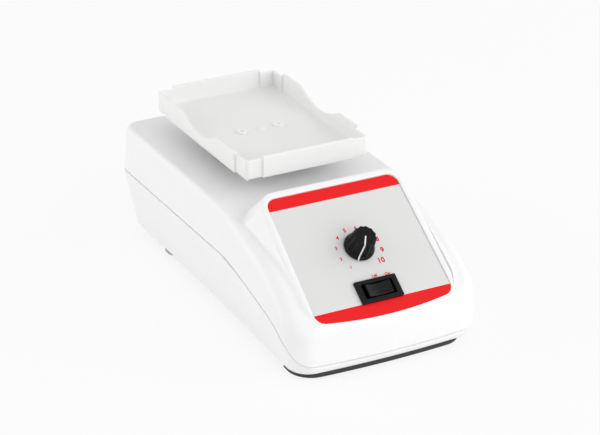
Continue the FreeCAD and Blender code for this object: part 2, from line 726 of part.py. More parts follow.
BUSH_TOP_Z = MOTOR_PLATE_Z + MOTOR_PLATE_T + BUSH_RISE
BUSH_BOTTOM_Z = MOTOR_PLATE_Z - BUSH_FLANGE_T


def guide_posts():
    """Four upright posts, seated in the ballast plate."""
    return group([cyl(POST_R, BALLAST_Z1 - POST_SEAT, BUSH_TOP_Z + NUT_H, x, y) for x, y in POST_XY])


def post_nuts():
    """Nuts that stop the motor plate at the top of the posts."""
    return group([hexagon(NUT_AF, BUSH_TOP_Z, BUSH_TOP_Z + NUT_H, x, y).cut(
        cyl(POST_R, BUSH_TOP_Z - 1.0, BUSH_TOP_Z + NUT_H + 1.0, x, y)) for x, y in POST_XY])


def plate_bushes():
    """Flanged bushes that slide on the posts."""
    bushes = []
    for x, y in POST_XY:
        body = fused([cyl(BUSH_R, BUSH_BOTTOM_Z, BUSH_TOP_Z, x, y),
                      cyl(BUSH_FLANGE_R, BUSH_BOTTOM_Z, MOTOR_PLATE_Z, x, y)])
        bushes.append(body.cut(cyl(POST_R + RUN_GAP, 0.0, DECK_Z, x, y)))
    return group(bushes)


def cradle_springs():
    """Coil springs between the ballast plate and the bushes."""
    z0 = BALLAST_Z1 + SPRING_WIRE_R + 0.05
    z1 = BUSH_BOTTOM_Z - SPRING_WIRE_R - 0.05
    coils = []
    for x, y in POST_XY:
        helix = Part.makeHelix((z1 - z0) / SPRING_TURNS, z1 - z0, SPRING_R)
        section = Part.Wire(Part.makeCircle(SPRING_WIRE_R, V(SPRING_R, 0, 0), V(0, 1, 0)))
        coil = Part.Wire(helix).makePipeShell([section], True, True)
        coil.translate(V(x, y, z0))
        coils.append(coil)
    return group(coils)


def motor_plate():
    """Plate that carries the motor and slides on the posts."""
    plate = slab(2 * MOTOR_PLATE_HALF, 2 * MOTOR_PLATE_HALF, 6.0, MOTOR_PLATE_Z,
                 MOTOR_PLATE_Z + MOTOR_PLATE_T, 0.0, AXIS_Y)
    holes = [cyl(BUSH_R, 0.0, DECK_Z, x, y) for x, y in POST_XY]
    holes += [cyl(BOARD_SCREW_R + 0.1, 0.0, DECK_Z, x, y) for x, y in MOTOR_SCREW_XY]
    holes.append(cyl(BEARING_R + 1.0, 0.0, DECK_Z, 0.0, AXIS_Y))
    return plate.cut(group(holes))


MOTOR_Z0 = BALLAST_Z1 + MOTOR_CLEAR
CAN_Z0 = MOTOR_Z0 + MOTOR_BELL_T
MOTOR_SCREW_R = 0.7 * MOTOR_R
MOTOR_SCREW_XY = [(MOTOR_SCREW_R * math.cos(math.radians(45 + 90 * i)),
                   AXIS_Y + MOTOR_SCREW_R * math.sin(math.radians(45 + 90 * i))) for i in range(4)]


def motor_can():
    """Motor's drawn can, closed at its top round the upper bearing."""
    can = cyl(MOTOR_R, CAN_Z0, MOTOR_PLATE_Z, 0.0, AXIS_Y)
    hollow = cyl(MOTOR_R - MOTOR_WALL, CAN_Z0 - 1.0, MOTOR_PLATE_Z - MOTOR_TOP_T, 0.0, AXIS_Y)
    seat = cyl(BEARING_R, 0.0, DECK_Z, 0.0, AXIS_Y)
    holes = [cyl(BOARD_SCREW_R, MOTOR_PLATE_Z - MOTOR_TOP_T - 1.0, DECK_Z, x, y) for x, y in MOTOR_SCREW_XY]
    return can.cut(group([hollow, seat] + holes))


def motor_end_bell():
    """Motor's lower end with its bearing seat and cooling slots."""
    bell = cyl(MOTOR_R, MOTOR_Z0, CAN_Z0, 0.0, AXIS_Y)
    slots = []
    for i in range(8):
        slot = box(12.0, 19.0, -1.5, 1.5, MOTOR_Z0 - 1.0, CAN_Z0 + 1.0)
        slot.rotate(V(0, 0, 0), V(0, 0, 1), 22.5 + 45.0 * i)
        slot.translate(V(0, AXIS_Y, 0))
        slots.append(slot)
    return bell.cut(group(slots + [cyl(BEARING_R, 0.0, DECK_Z, 0.0, AXIS_Y)]))


def motor_bearings():
    """Two ball bearings, drawn as rings with a running fit on the shaft."""
    low = ring(BEARING_R, SHAFT_R + RUN_GAP, CAN_Z0 - BEARING_W, CAN_Z0, 0.0, AXIS_Y)
    high = ring(BEARING_R, SHAFT_R + RUN_GAP, MOTOR_PLATE_Z - BEARING_W + 1.0, MOTOR_PLATE_Z + 1.0, 0.0,
                AXIS_Y)
    return group([low, high])


def motor_screws():
    """Screws through the motor plate into the can."""
    top = MOTOR_PLATE_Z + MOTOR_PLATE_T
    return group([screw(x, y, top, BOARD_SCREW_R, 2.6, 1.8, 7.0, False) for x, y in MOTOR_SCREW_XY])


FAN_Z = MOTOR_PLATE_Z + MOTOR_PLATE_T + FAN_GAP
HUB_Z = FAN_Z + FAN_H + HUB_GAP
HUB_TOP_Z = HUB_Z + HUB_H
CARRIER_Z = HUB_TOP_Z + CARRIER_GAP
WEB_Z = TRAY_Z - CARRIER_WEB_T
PIN_TOP_Z = WEB_Z - 0.3


def motor_shaft():
    """Shaft from the lower bearing to the eccentric hub."""
    return cyl(SHAFT_R, MOTOR_Z0 + 0.3, HUB_TOP_Z - 1.0, 0.0, AXIS_Y)


def armature():
    """Laminated core on the shaft, inside the can."""
    return ring(MOTOR_R - MOTOR_WALL - 1.2, SHAFT_R, CAN_Z0 + 4.0, MOTOR_PLATE_Z - MOTOR_TOP_T - 4.0, 0.0,
                AXIS_Y)


def cooling_fan():
    """Fan with curved blades that cools the motor."""
    parts = [ring(7.0, SHAFT_R, FAN_Z, FAN_Z + FAN_H, 0.0, AXIS_Y),
             ring(FAN_R, SHAFT_R + 2.0, FAN_Z, FAN_Z + 0.8, 0.0, AXIS_Y)]
    for i in range(FAN_BLADES):
        blade = ring(11.0, 10.2, FAN_Z, FAN_Z + FAN_H, 13.5, 0.0)
        wedge = box(6.5, FAN_R - 0.6, 0.0, 12.0, FAN_Z - 1.0, FAN_Z + FAN_H + 1.0)
        blade = blade.common(wedge)
        blade.rotate(V(0, 0, 0), V(0, 0, 1), 360.0 / FAN_BLADES * i)
        blade.translate(V(0, AXIS_Y, 0))
        parts.append(blade)
    fan = fused(parts)
    return fan.common(ring(FAN_R, SHAFT_R, FAN_Z, FAN_Z + FAN_H, 0.0, AXIS_Y))


def eccentric_hub():
    """Hub on the shaft with a pin that stands off the shaft's axis by the orbit radius."""
    hub = fused([cyl(HUB_R, HUB_Z, HUB_TOP_Z, 0.0, AXIS_Y),
                 cyl(PIN_R, HUB_TOP_Z - 0.5, PIN_TOP_Z, 0.0, TRAY_Y)])
    bore = cyl(SHAFT_R, HUB_Z - 1.0, HUB_TOP_Z - 1.0, 0.0, AXIS_Y)
    grub = bar(BOARD_SCREW_R, V(SHAFT_R - 1.0, AXIS_Y, HUB_Z + HUB_H / 2),
               V(HUB_R + 1.0, AXIS_Y, HUB_Z + HUB_H / 2))
    return hub.cut(group([bore, grub]))


def hub_set_screw():
    """Grub screw that holds the hub on the shaft."""
    return bar(BOARD_SCREW_R, V(SHAFT_R, AXIS_Y, HUB_Z + HUB_H / 2),
               V(HUB_R - 0.5, AXIS_Y, HUB_Z + HUB_H / 2))


def counterweight():
    """Steel sector on the hub, opposite the eccentric pin."""
    sector = ring(WEIGHT_R, HUB_R, HUB_Z + 0.5, HUB_Z + 0.5 + WEIGHT_H, 0.0, AXIS_Y)
    return sector.common(box(-WEIGHT_R, WEIGHT_R, AXIS_Y + 2.5, AXIS_Y + WEIGHT_R + 1.0, HUB_Z, HUB_TOP_Z))


def bearing_carrier():
    """Cup that turns on the pin's bearings and carries the tray on its flange."""
    body = fused([cyl(CARRIER_R, CARRIER_Z, TRAY_Z, 0.0, TRAY_Y),
                  cyl(CARRIER_FLANGE_R, TRAY_Z - CARRIER_FLANGE_T, TRAY_Z, 0.0, TRAY_Y)])
    bore = cyl(CARRIER_BORE_R, CARRIER_Z - 1.0, WEB_Z, 0.0, TRAY_Y)
    taps = [cyl(TRAY_SCREW_R, TRAY_Z - 9.0, TRAY_Z + 1.0, sx * TRAY_SCREW_X, TRAY_Y) for sx in (1, -1)]
    return body.cut(group([bore] + taps))


def head_bearings():
    """Two ball bearings on the eccentric pin."""
    high = ring(CARRIER_BORE_R, PIN_R + RUN_GAP, WEB_Z - HEAD_BEARING_W, WEB_Z, 0.0, TRAY_Y)
    low = ring(CARRIER_BORE_R, PIN_R + RUN_GAP, CARRIER_Z + CIRCLIP_T,
               CARRIER_Z + CIRCLIP_T + HEAD_BEARING_W, 0.0, TRAY_Y)
    return group([high, low])


def retaining_ring():
    """Ring that keeps the bearings in the carrier."""
    full = ring(CARRIER_BORE_R, CARRIER_BORE_R - 2.5, CARRIER_Z, CARRIER_Z + CIRCLIP_T, 0.0, TRAY_Y)
    return full.cut(box(-2.0, 2.0, TRAY_Y, TRAY_Y + CARRIER_R, 0.0, DECK_Z + 30.0))


def drip_skirt():
    """Ribbed rubber skirt under the tray that hangs round the deck's collar."""
    r0 = CARRIER_FLANGE_R
    z0 = DECK_Z + SKIRT_GAP
    z1 = TRAY_Z
    pitch = (z1 - z0) / 4.0
    outline = [V(r0, 0, z0), V(r0 + SKIRT_T - 0.8, 0, z0)]
    for i in range(4):
        z = z0 + pitch * i
        outline += [V(r0 + SKIRT_T, 0, z + 0.3 * pitch), V(r0 + SKIRT_T, 0, z + 0.7 * pitch)]
        if i < 3:
            outline.append(V(r0 + SKIRT_T - 0.8, 0, z + pitch))
    outline += [V(r0 + SKIRT_T - 0.8, 0, z1), V(r0, 0, z1), V(r0, 0, z0)]
    skirt = Part.Face(Part.makePolygon(outline)).revolve(V(0, 0, 0), V(0, 0, 1), 360)
    skirt.translate(V(0, TRAY_Y, 0))
    return skirt


# Tray: the walls step out between the corner posts, and the long walls dip in a finger scoop
def tray_plan(inset, z0, z1):
    """Prism of the tray's stepped plan."""
    long_panel = (TRAY_W + 2 * TRAY_STEP, TRAY_PANEL_L)
    short_panel = (TRAY_PANEL_W, TRAY_L + 2 * TRAY_STEP)
    sizes = [(TRAY_W, TRAY_L, TRAY_CORNER_R), long_panel + (0.8,), short_panel + (0.8,)]
    return fused([slab(w - 2 * inset, l - 2 * inset, max(r - inset, 0.3), z0, z1, 0.0, TRAY_Y) for w, l,
                  r in sizes])


def scoop_cut():
    """Prism that cuts one smooth finger scoop through both long walls."""
    floor = TRAY_TOP_Z - SCOOP_DEPTH
    rises = ((1.0, 1.0), (0.845, 0.86), (0.66, 0.55), (0.36, 0.17))
    left = [V(-80.0, TRAY_Y - a * SCOOP_HALF, floor + b * SCOOP_DEPTH) for a, b in rises]
    right = [V(-80.0, 2 * TRAY_Y - p.y, p.z) for p in reversed(left)]
    curve = Part.BSplineCurve()
    curve.interpolate(left + [V(-80.0, TRAY_Y, floor)] + right)
    lid = Part.makePolygon([right[-1], V(-80.0, right[-1].y, TRAY_TOP_Z + 5.0),
                            V(-80.0, left[0].y, TRAY_TOP_Z + 5.0), left[0]])
    return Part.Face(Part.Wire([curve.toShape()] + lid.Edges)).extrude(V(160.0, 0, 0))


def microplate_tray():
    """Moulded tray that holds one microplate."""
    posts_top = TRAY_Z + TRAY_POST_H
    low = tray_plan(0.0, TRAY_Z, posts_top)
    high = tray_plan(0.0, posts_top - 0.1, TRAY_TOP_Z)
    far = TRAY_L
    zones = [box(-far, far, TRAY_Y - TRAY_PANEL_L / 2, TRAY_Y + TRAY_PANEL_L / 2, 0.0, 200.0),
             box(-TRAY_PANEL_W / 2, TRAY_PANEL_W / 2, TRAY_Y - far, TRAY_Y + far, 0.0, 200.0)]
    tray = low.multiFuse([high.common(zones[0].fuse(zones[1]))])
    hollow = tray_plan(TRAY_WALL, FLOOR_Z, TRAY_TOP_Z + 1.0)
    holes = [cyl(TRAY_SCREW_R + 0.2, 0.0, 200.0, sx * TRAY_SCREW_X, TRAY_Y) for sx in (1, -1)]
    holes.append(cyl(CAP_PEG_R, 0.0, 200.0, 0.0, TRAY_Y))
    tray = tray.cut(group([hollow, scoop_cut()] + holes))
    nub_x = TRAY_W / 2 - TRAY_WALL
    nub_y = TRAY_L / 2 - TRAY_WALL
    nubs = [cyl(NUB_R, TRAY_Z - NUB_H, TRAY_Z + 0.5, sx * nub_x, TRAY_Y + sy * nub_y)
            for sx in (1, -1) for sy in (1, -1)]
    return tray.multiFuse(nubs).removeSplitter()


def tray_screws():
    """Cross-head screws that hold the tray to the carrier."""
    screws = []
    for sx in (1, -1):
        x = sx * TRAY_SCREW_X
        one = screw(x, TRAY_Y, FLOOR_Z, TRAY_SCREW_R, TRAY_SCREW_HEAD_R, TRAY_SCREW_HEAD_H,
                    FLOOR_Z - TRAY_Z + 7.0, False)
        top = FLOOR_Z + TRAY_SCREW_HEAD_H
        cross = [box(x - a, x + a, TRAY_Y - b, TRAY_Y + b, top - 0.7, top + 1.0) for a,
                 b in ((1.7, 0.4), (0.4, 1.7))]
        screws.append(one.cut(group(cross)))
    return group(screws)


def centre_cap():
    """Low domed cap in the middle of the tray's floor."""
    r = (CAP_R ** 2 + CAP_H ** 2) / (2 * CAP_H)
    ball = Part.makeSphere(r, V(0, TRAY_Y, FLOOR_Z + CAP_H - r))
    dome = ball.common(cyl(CAP_R + 1.0, FLOOR_Z, FLOOR_Z + CAP_H + 1.0, 0.0, TRAY_Y))
    return fused([dome, cyl(CAP_PEG_R, TRAY_Z + 0.2, FLOOR_Z + 0.2, 0.0, TRAY_Y)])


# Panel pieces, built in panel coordinates
def panel_label():
    """Thin sheet in the console's pocket, with holes for the knob's bush and the switch."""
    sheet = label_face(0.0, -LABEL_T).extrude(V(0, 0, LABEL_T))
    return on_panel(sheet.cut(group(panel_holes(-2.0, 2.0))))


def speed_pot():
    """Potentiometer: round body behind the panel and a bush through it."""
    wall_back = -LABEL_T - WALL
    solid = fused([cyl(POT_BODY_R, wall_back - POT_BODY_H, wall_back, 0.0, -KNOB_S),
                   cyl(POT_BUSH_R, wall_back - 0.5, POT_NUT_H + 1.0, 0.0, -KNOB_S),
                   box(-POT_BODY_R, POT_BODY_R, -KNOB_S - POT_BODY_R - 3.0, -KNOB_S, wall_back - 5.0,
                       wall_back - 3.6)])
    return on_panel(solid.cut(cyl(POT_SHAFT_R + RUN_GAP, wall_back - 8.0, 20.0, 0.0, -KNOB_S)))


def pot_nut():
    """Nut that clamps the potentiometer to the panel."""
    nut = hexagon(POT_NUT_AF, 0.0, POT_NUT_H, 0.0, -KNOB_S)
    return on_panel(nut.cut(cyl(POT_BUSH_R, -1.0, 5.0, 0.0, -KNOB_S)))


def pot_shaft():
    """Shaft that the knob turns."""
    return on_panel(cyl(POT_SHAFT_R, -LABEL_T - WALL - 7.5, KNOB_H - 3.0, 0.0, -KNOB_S))


def speed_knob():
    """Fluted knob with a flared skirt, hollow underneath for the nut."""
    r0, r1, r2 = KNOB_SKIRT_R, KNOB_CAP_R + 0.9, KNOB_CAP_R
    z = KNOB_GAP
    profile = [Part.LineSegment(V(0, 0, z), V(r0, 0, z)).toShape(),
               Part.LineSegment(V(r0, 0, z), V(r0, 0, z + 0.9)).toShape(),
               Part.Arc(V(r0, 0, z + 0.9), V(r1 + 0.45, 0, z + 1.9), V(r1, 0, z + 3.6)).toShape(),
               Part.LineSegment(V(r1, 0, z + 3.6), V(r2, 0, KNOB_H - 0.8)).toShape(),
               Part.Arc(V(r2, 0, KNOB_H - 0.8), V(r2 - 0.25, 0, KNOB_H - 0.25),
                        V(r2 - 0.8, 0, KNOB_H)).toShape(),
               Part.LineSegment(V(r2 - 0.8, 0, KNOB_H), V(0, 0, KNOB_H)).toShape(),
               Part.LineSegment(V(0, 0, KNOB_H), V(0, 0, z)).toShape()]
    knob = Part.Face(Part.Wire(profile)).revolve(V(0, 0, 0), V(0, 0, 1), 360)
    flutes = []
    for i in range(KNOB_FLUTES):
        a = math.radians(360.0 / KNOB_FLUTES * (i + 0.5) - 90.0)
        reach = KNOB_CAP_R + 1.1
        flutes.append(Part.makeCylinder(1.5, KNOB_H, V(reach * math.cos(a), reach * math.sin(a), z + 3.2)))
    hollow = [cyl(7.0, 0.0, POT_NUT_H + 1.6), cyl(POT_SHAFT_R, 0.0, KNOB_H - 3.0),
              box(-0.7, 0.7, -r2 - 1.0, 0.0, KNOB_H - 0.5, KNOB_H + 1.0),
              bar(BOARD_SCREW_R, V(0, POT_SHAFT_R - 1.0, z + 6.0), V(0, r0, z + 6.0))]
    knob = knob.cut(group(flutes + hollow))
    knob.rotate(V(0, 0, 0), V(0, 0, 1), -KNOB_REST_DEG)
    knob.translate(V(0, -KNOB_S, 0))
    return on_panel(knob)


def knob_pointer():
    """White line let into the knob's cap."""
    line = box(-0.7, 0.7, -KNOB_CAP_R + 0.9, 0.0, KNOB_H - 0.5, KNOB_H)
    line.rotate(V(0, 0, 0), V(0, 0, 1), -KNOB_REST_DEG)
    line.translate(V(0, -KNOB_S, 0))
    return on_panel(line)


def knob_grub_screw():
    """Grub screw that holds the knob on its shaft."""
    z = KNOB_GAP + 6.0
    grub = bar(BOARD_SCREW_R, V(0, POT_SHAFT_R, z), V(0, KNOB_CAP_R - 1.0, z))
    grub.rotate(V(0, 0, 0), V(0, 0, 1), -KNOB_REST_DEG)
    grub.translate(V(0, -KNOB_S, 0))
    return on_panel(grub)


ROCKER_HOLE_W = ROCKER_W + 2.5
ROCKER_HOLE_L = ROCKER_L + 1.4
SWITCH_FLOOR_N = SWITCH_FLANGE_H - 14.0


def switch_body():
    """Rocker switch housing: chamfered bezel, body through the panel, cavity for the rocker."""
    y = -SWITCH_S
    flange = box(-SWITCH_W / 2, SWITCH_W / 2, y - SWITCH_L / 2, y + SWITCH_L / 2, 0.0, SWITCH_FLANGE_H)
    top = Part.makePlane(SWITCH_W * 2, SWITCH_L * 2, V(-SWITCH_W, y - SWITCH_L, SWITCH_FLANGE_H))
    flange = flange.makeChamfer(0.7, edges_on(flange, top))
    body = box(-SWITCH_BODY_W / 2, SWITCH_BODY_W / 2, y - SWITCH_BODY_L / 2, y + SWITCH_BODY_L / 2,
               -SWITCH_DEPTH, 0.5)
    cavity = box(-ROCKER_HOLE_W / 2, ROCKER_HOLE_W / 2, y - ROCKER_HOLE_L / 2, y + ROCKER_HOLE_L / 2,
                 SWITCH_FLOOR_N, SWITCH_FLANGE_H + 1.0)
    pin = bar(ROCKER_PIN_R, V(0, y - SWITCH_BODY_L / 2 + 0.1, ROCKER_PIVOT_N),
              V(0, y + SWITCH_BODY_L / 2 - 0.1, ROCKER_PIVOT_N))
    return on_panel(fused([flange, body]).cut(group([cavity, pin])))


def rocker_pin():
    """Pin that the rocker tilts on."""
    y = -SWITCH_S
    return on_panel(bar(ROCKER_PIN_R, V(0, y - SWITCH_BODY_L / 2 + 0.1, ROCKER_PIVOT_N),
                        V(0, y + SWITCH_BODY_L / 2 - 0.1, ROCKER_PIVOT_N)))


def rocker_paddle():
    """Rocker with a dished face, which tips to either side of its middle stop."""
    y = -SWITCH_S
    h = ROCKER_W / 2
    outline = [Part.Arc(V(-h, 0, ROCKER_TIP_N), V(0, 0, ROCKER_MID_N), V(h, 0, ROCKER_TIP_N)).toShape(),
               Part.makeLine(V(h, 0, ROCKER_TIP_N), V(h, 0, ROCKER_TIP_N - 3.0)),
               Part.makeLine(V(h, 0, ROCKER_TIP_N - 3.0), V(3.0, 0, ROCKER_PIVOT_N - 4.0)),
               Part.makeLine(V(3.0, 0, ROCKER_PIVOT_N - 4.0), V(-3.0, 0, ROCKER_PIVOT_N - 4.0)),
               Part.makeLine(V(-3.0, 0, ROCKER_PIVOT_N - 4.0), V(-h, 0, ROCKER_TIP_N - 3.0)),
               Part.makeLine(V(-h, 0, ROCKER_TIP_N - 3.0), V(-h, 0, ROCKER_TIP_N))]
    paddle = Part.Face(Part.Wire(outline)).extrude(V(0, ROCKER_L, 0))
    paddle.translate(V(0, y - ROCKER_L / 2, 0))
    bore = bar(ROCKER_PIN_R + RUN_GAP, V(0, y - ROCKER_L, ROCKER_PIVOT_N),
               V(0, y + ROCKER_L, ROCKER_PIVOT_N))
    return on_panel(paddle.cut(bore))


def switch_terminals():
    """Blade terminals behind the switch."""
    y = -SWITCH_S
    return on_panel(group([box(x - 0.4, x + 0.4, y - 3.1, y + 3.1, -SWITCH_DEPTH - TERMINAL_DROP,
                               -SWITCH_DEPTH)
                           for x in (-9.0, 0.0, 9.0)]))


# Control board on standoffs over the ballast plate
BOARD_Z = BALLAST_Z1 + STANDOFF_H
STANDOFF_XY = [(sx * (BOARD_X - 4.0), y) for sx in (1, -1) for y in (BOARD_Y0 + 4.0, BOARD_Y1 - 4.0)]


def control_board():
    """Circuit board with four fixing holes."""
    board = box(-BOARD_X, BOARD_X, BOARD_Y0, BOARD_Y1, BOARD_Z, BOARD_Z + BOARD_T)
    return board.cut(group([cyl(BOARD_SCREW_R + 0.1, 0.0, 60.0, x, y) for x, y in STANDOFF_XY]))


def board_standoffs():
    """Standoffs between the ballast plate and the board."""
    return group([hexagon(2 * STANDOFF_R, BALLAST_Z1, BOARD_Z, x,
                          y).cut(cyl(BOARD_SCREW_R, BALLAST_Z1 + 1.0, 60.0, x, y))
                  for x, y in STANDOFF_XY])


def board_screws():
    """Screws that hold the board on its standoffs."""
    return group([screw(x, y, BOARD_Z + BOARD_T, BOARD_SCREW_R, 2.8, 1.6, 5.0, False) for x,
                  y in STANDOFF_XY])


def heat_sink():
    """Finned heat sink of the motor drive."""
    z = BOARD_Z + BOARD_T
    y0 = BOARD_Y1 - 22.0
    block = box(-14.0, 14.0, y0, y0 + 12.0, z, z + 16.0)
    gaps = [box(-12.0 + 6.0 * i, -8.0 + 6.0 * i, y0 - 1.0, y0 + 13.0, z + 3.0, z + 20.0) for i in range(5)]
    return block.cut(group(gaps))


def board_parts():
    """Capacitor, relay and terminal block on the board."""
    z = BOARD_Z + BOARD_T
    cap = cyl(6.0, z, z + 18.0, 20.0, BOARD_Y0 + 16.0)
    relay = box(-24.0, -8.0, BOARD_Y0 + 10.0, BOARD_Y0 + 22.0, z, z + 12.0)
    block = box(-TERMINAL_X, -TERMINAL_X + 8.0, TERMINAL_Y - 8.0, TERMINAL_Y + 8.0, z, z + TERMINAL_H)
    return group([cap, relay, block])


# Touch switch: pressing the tray pushes its plunger down
TOUCH_Z1 = MOTOR_PLATE_Z - PLUNGER_RISE
TOUCH_Z0 = TOUCH_Z1 - TOUCH_H


def touch_switch():
    """Microswitch body with the plunger's guide hole."""
    body = box(TOUCH_X - TOUCH_W / 2, TOUCH_X + TOUCH_W / 2, AXIS_Y - TOUCH_L / 2, AXIS_Y + TOUCH_L / 2,
               TOUCH_Z0, TOUCH_Z1)
    return body.cut(cyl(PLUNGER_R + RUN_GAP, TOUCH_Z1 - 6.0, TOUCH_Z1 + 1.0, TOUCH_X, AXIS_Y))


def touch_plunger():
    """Plunger between the microswitch and the motor plate."""
    return cyl(PLUNGER_R, TOUCH_Z1 - 4.5, MOTOR_PLATE_Z, TOUCH_X, AXIS_Y)


def switch_bracket():
    """Bent sheet bracket that carries the microswitch over the ballast plate."""
    x0 = TOUCH_X + TOUCH_W / 2
    wall = box(x0, x0 + BRACKET_T, AXIS_Y - TOUCH_L / 2, AXIS_Y + TOUCH_L / 2, BALLAST_Z1, TOUCH_Z1)
    foot = box(x0 - 8.0, x0 + BRACKET_T, AXIS_Y - TOUCH_L / 2, AXIS_Y + TOUCH_L / 2, BALLAST_Z1,
               BALLAST_Z1 + BRACKET_T)
    return fused([wall, foot])


# Mains inlet
def mains_inlet():
    """Inlet with a socket for the mains lead and a slot for the fuse drawer."""
    seat = INLET_SEAT_Y
    flange = inlet_plate(INLET_FLANGE_W, INLET_FLANGE_H, 0.0, seat, seat + INLET_FLANGE_T)
    body = inlet_plate(INLET_BODY_W, INLET_BODY_H, 0.0, seat - INLET_DEPTH, seat + 0.5)
    face = seat + INLET_FLANGE_T
    socket = box(INLET_SOCKET_X - INLET_SOCKET_W / 2, INLET_SOCKET_X + INLET_SOCKET_W / 2,
                 face - INLET_SOCKET_DEPTH, face + 1.0,
                 INLET_Z - INLET_SOCKET_H / 2, INLET_Z + INLET_SOCKET_H / 2)
    corners = [e for e in socket.Edges
               if abs(e.Vertexes[0].Y - e.Vertexes[1].Y) > 1.0 and e.Vertexes[0].Z > INLET_Z]
    socket = socket.makeChamfer(4.0, corners)
    slot = box(FUSE_X - FUSE_W / 2 - FUSE_GAP, FUSE_X + FUSE_W / 2 + FUSE_GAP, seat - FUSE_TRAVEL,
               face + 1.0,
               INLET_Z - FUSE_H / 2 - FUSE_GAP, INLET_Z + FUSE_H / 2 + FUSE_GAP)
    screws = [bar(SCREW_R - 0.3, V(sx * INLET_SCREW_X, seat - 1.0, INLET_Z),
                  V(sx * INLET_SCREW_X, face + 1.0, INLET_Z))
              for sx in (1, -1)]
    pins = [inlet_pin(x, z, seat - INLET_DEPTH - 1.0, face + 1.0) for x, z in PIN_XZ]
    return fused([flange, body]).cut(group([socket, slot] + screws + pins))


PIN_XZ = [(INLET_SOCKET_X - 7.0, INLET_Z - 2.0), (INLET_SOCKET_X + 7.0, INLET_Z - 2.0),
          (INLET_SOCKET_X, INLET_Z + 2.0)]
INLET_FACE_Y = INLET_SEAT_Y + INLET_FLANGE_T


def inlet_pin(x, z, y0, y1):
    """One flat contact pin."""
    return box(x - 1.0, x + 1.0, y0, y1, z - 2.0, z + 2.0)


def inlet_pins():
    """Three contact pins, with solder tails inside."""
    return group([inlet_pin(x, z, INLET_SEAT_Y - INLET_DEPTH - PIN_TAIL, INLET_FACE_Y - 2.0) for x,
                  z in PIN_XZ])


def inlet_screws():
    """Screws that hold the inlet's flange."""
    return group([fused([bar(SCREW_R - 0.4, V(sx * INLET_SCREW_X, INLET_SEAT_Y - 4.0, INLET_Z),
                             V(sx * INLET_SCREW_X, INLET_FACE_Y + 0.1, INLET_Z)),
                         bar(2.4, V(sx * INLET_SCREW_X, INLET_FACE_Y, INLET_Z),
                             V(sx * INLET_SCREW_X, INLET_FACE_Y + 1.2, INLET_Z))]) for sx in (1, -1)])


def fuse_drawer():
    """Drawer that slides out of the inlet with the fuses."""
    face = INLET_FACE_Y
    body = box(FUSE_X - FUSE_W / 2, FUSE_X + FUSE_W / 2, INLET_SEAT_Y - FUSE_TRAVEL + 1.0, face,
               INLET_Z - FUSE_H / 2, INLET_Z + FUSE_H / 2)
    grip = box(FUSE_X - FUSE_W / 2, FUSE_X + FUSE_W / 2, face, face + 0.8, INLET_Z - FUSE_H / 2,
               INLET_Z + FUSE_H / 2)
    wells = [box(FUSE_X - 2.8, FUSE_X + 2.8, INLET_SEAT_Y - FUSE_TRAVEL, face - 1.5, INLET_Z + z - 2.8,
                 INLET_Z + z + 2.8)
             for z in FUSE_DZ]
    return fused([body, grip]).cut(group(wells))


FUSE_DZ = (-4.6, 4.6)


def fuses():
    """Two glass tube fuses in the drawer."""
    y1 = INLET_FACE_Y - 1.5
    y0 = INLET_SEAT_Y - FUSE_TRAVEL + 1.2
    return group([bar(2.6, V(FUSE_X, y0, INLET_Z + z), V(FUSE_X, y1, INLET_Z + z)) for z in FUSE_DZ])


def lead(points):
    """Insulated lead along straight runs joined by tangent arcs."""
    edges = []
    start = points[0]
    for i in range(1, len(points) - 1):
        before, here, after = points[i - 1], points[i], points[i + 1]
        a = before.sub(here)
        b = after.sub(here)
        turn = math.pi - a.getAngle(b)
        run = min(a.Length, b.Length)
        cut_back = 0.45 * run
        r = cut_back / math.tan(turn / 2)
        a.normalize()
        b.normalize()
        p0 = here.add(a.multiply(cut_back))
        p1 = here.add(b.multiply(cut_back))
        to_mid = p0.add(p1).multiply(0.5).sub(here)
        reach = math.hypot(r, cut_back) - r
        mid = here.add(to_mid.normalize().multiply(reach))
        edges.append(Part.LineSegment(start, p0).toShape())
        edges.append(Part.Arc(p0, mid, p1).toShape())
        start = p1
    edges.append(Part.LineSegment(start, points[-1]).toShape())
    run = points[1].sub(points[0])
    section = Part.Wire(Part.makeCircle(LEAD_R, points[0], run))
    return Part.Wire(edges).makePipeShell([section], True, False)


def mains_leads():
    """Leads from the inlet along the tub's left wall to the board's terminal block."""
    leads = []
    y0 = INLET_SEAT_Y - INLET_DEPTH - PIN_TAIL
    z_end = BOARD_Z + BOARD_T + TERMINAL_H / 2
    for i, (x, z) in enumerate(PIN_XZ[:2]):
        side = LEAD_SIDE_X + LEAD_PITCH * i
        turn_y = y0 - 5.0 - LEAD_PITCH * i
        end_y = TERMINAL_Y + LEAD_PITCH * (i - 0.5)
        leads.append(lead([V(x, y0, z), V(x, turn_y, z), V(side + 12.0, turn_y + 0.8, z - 1.0),
                           V(side, turn_y - 12.0, z - 1.5), V(side + 1.0, 10.0, z - 2.0),
                           V(side, end_y, z_end), V(-TERMINAL_X, end_y, z_end)]))
    return group(leads)


def housing_screws():
    """Four long screws from below that close the housing."""
    length = BOSS_SPLIT_Z + SCREW_BITE - SCREW_SINK_Z
    return group([screw(x, y, SCREW_SINK_Z, SCREW_R, SCREW_HEAD_R, SCREW_HEAD_H, length, True) for x,
                  y in SCREW_XY])


def ballast_screws():
    """Screws that hold the ballast plate on its bosses."""
    return group([screw(sx * BALLAST_SCREW_X, y, BALLAST_Z1, SCREW_R, SCREW_HEAD_R, 2.2,
                        BALLAST_T + BALLAST_LIFT, False)
                  for sx in (1, -1) for y in BALLAST_SCREW_Y])


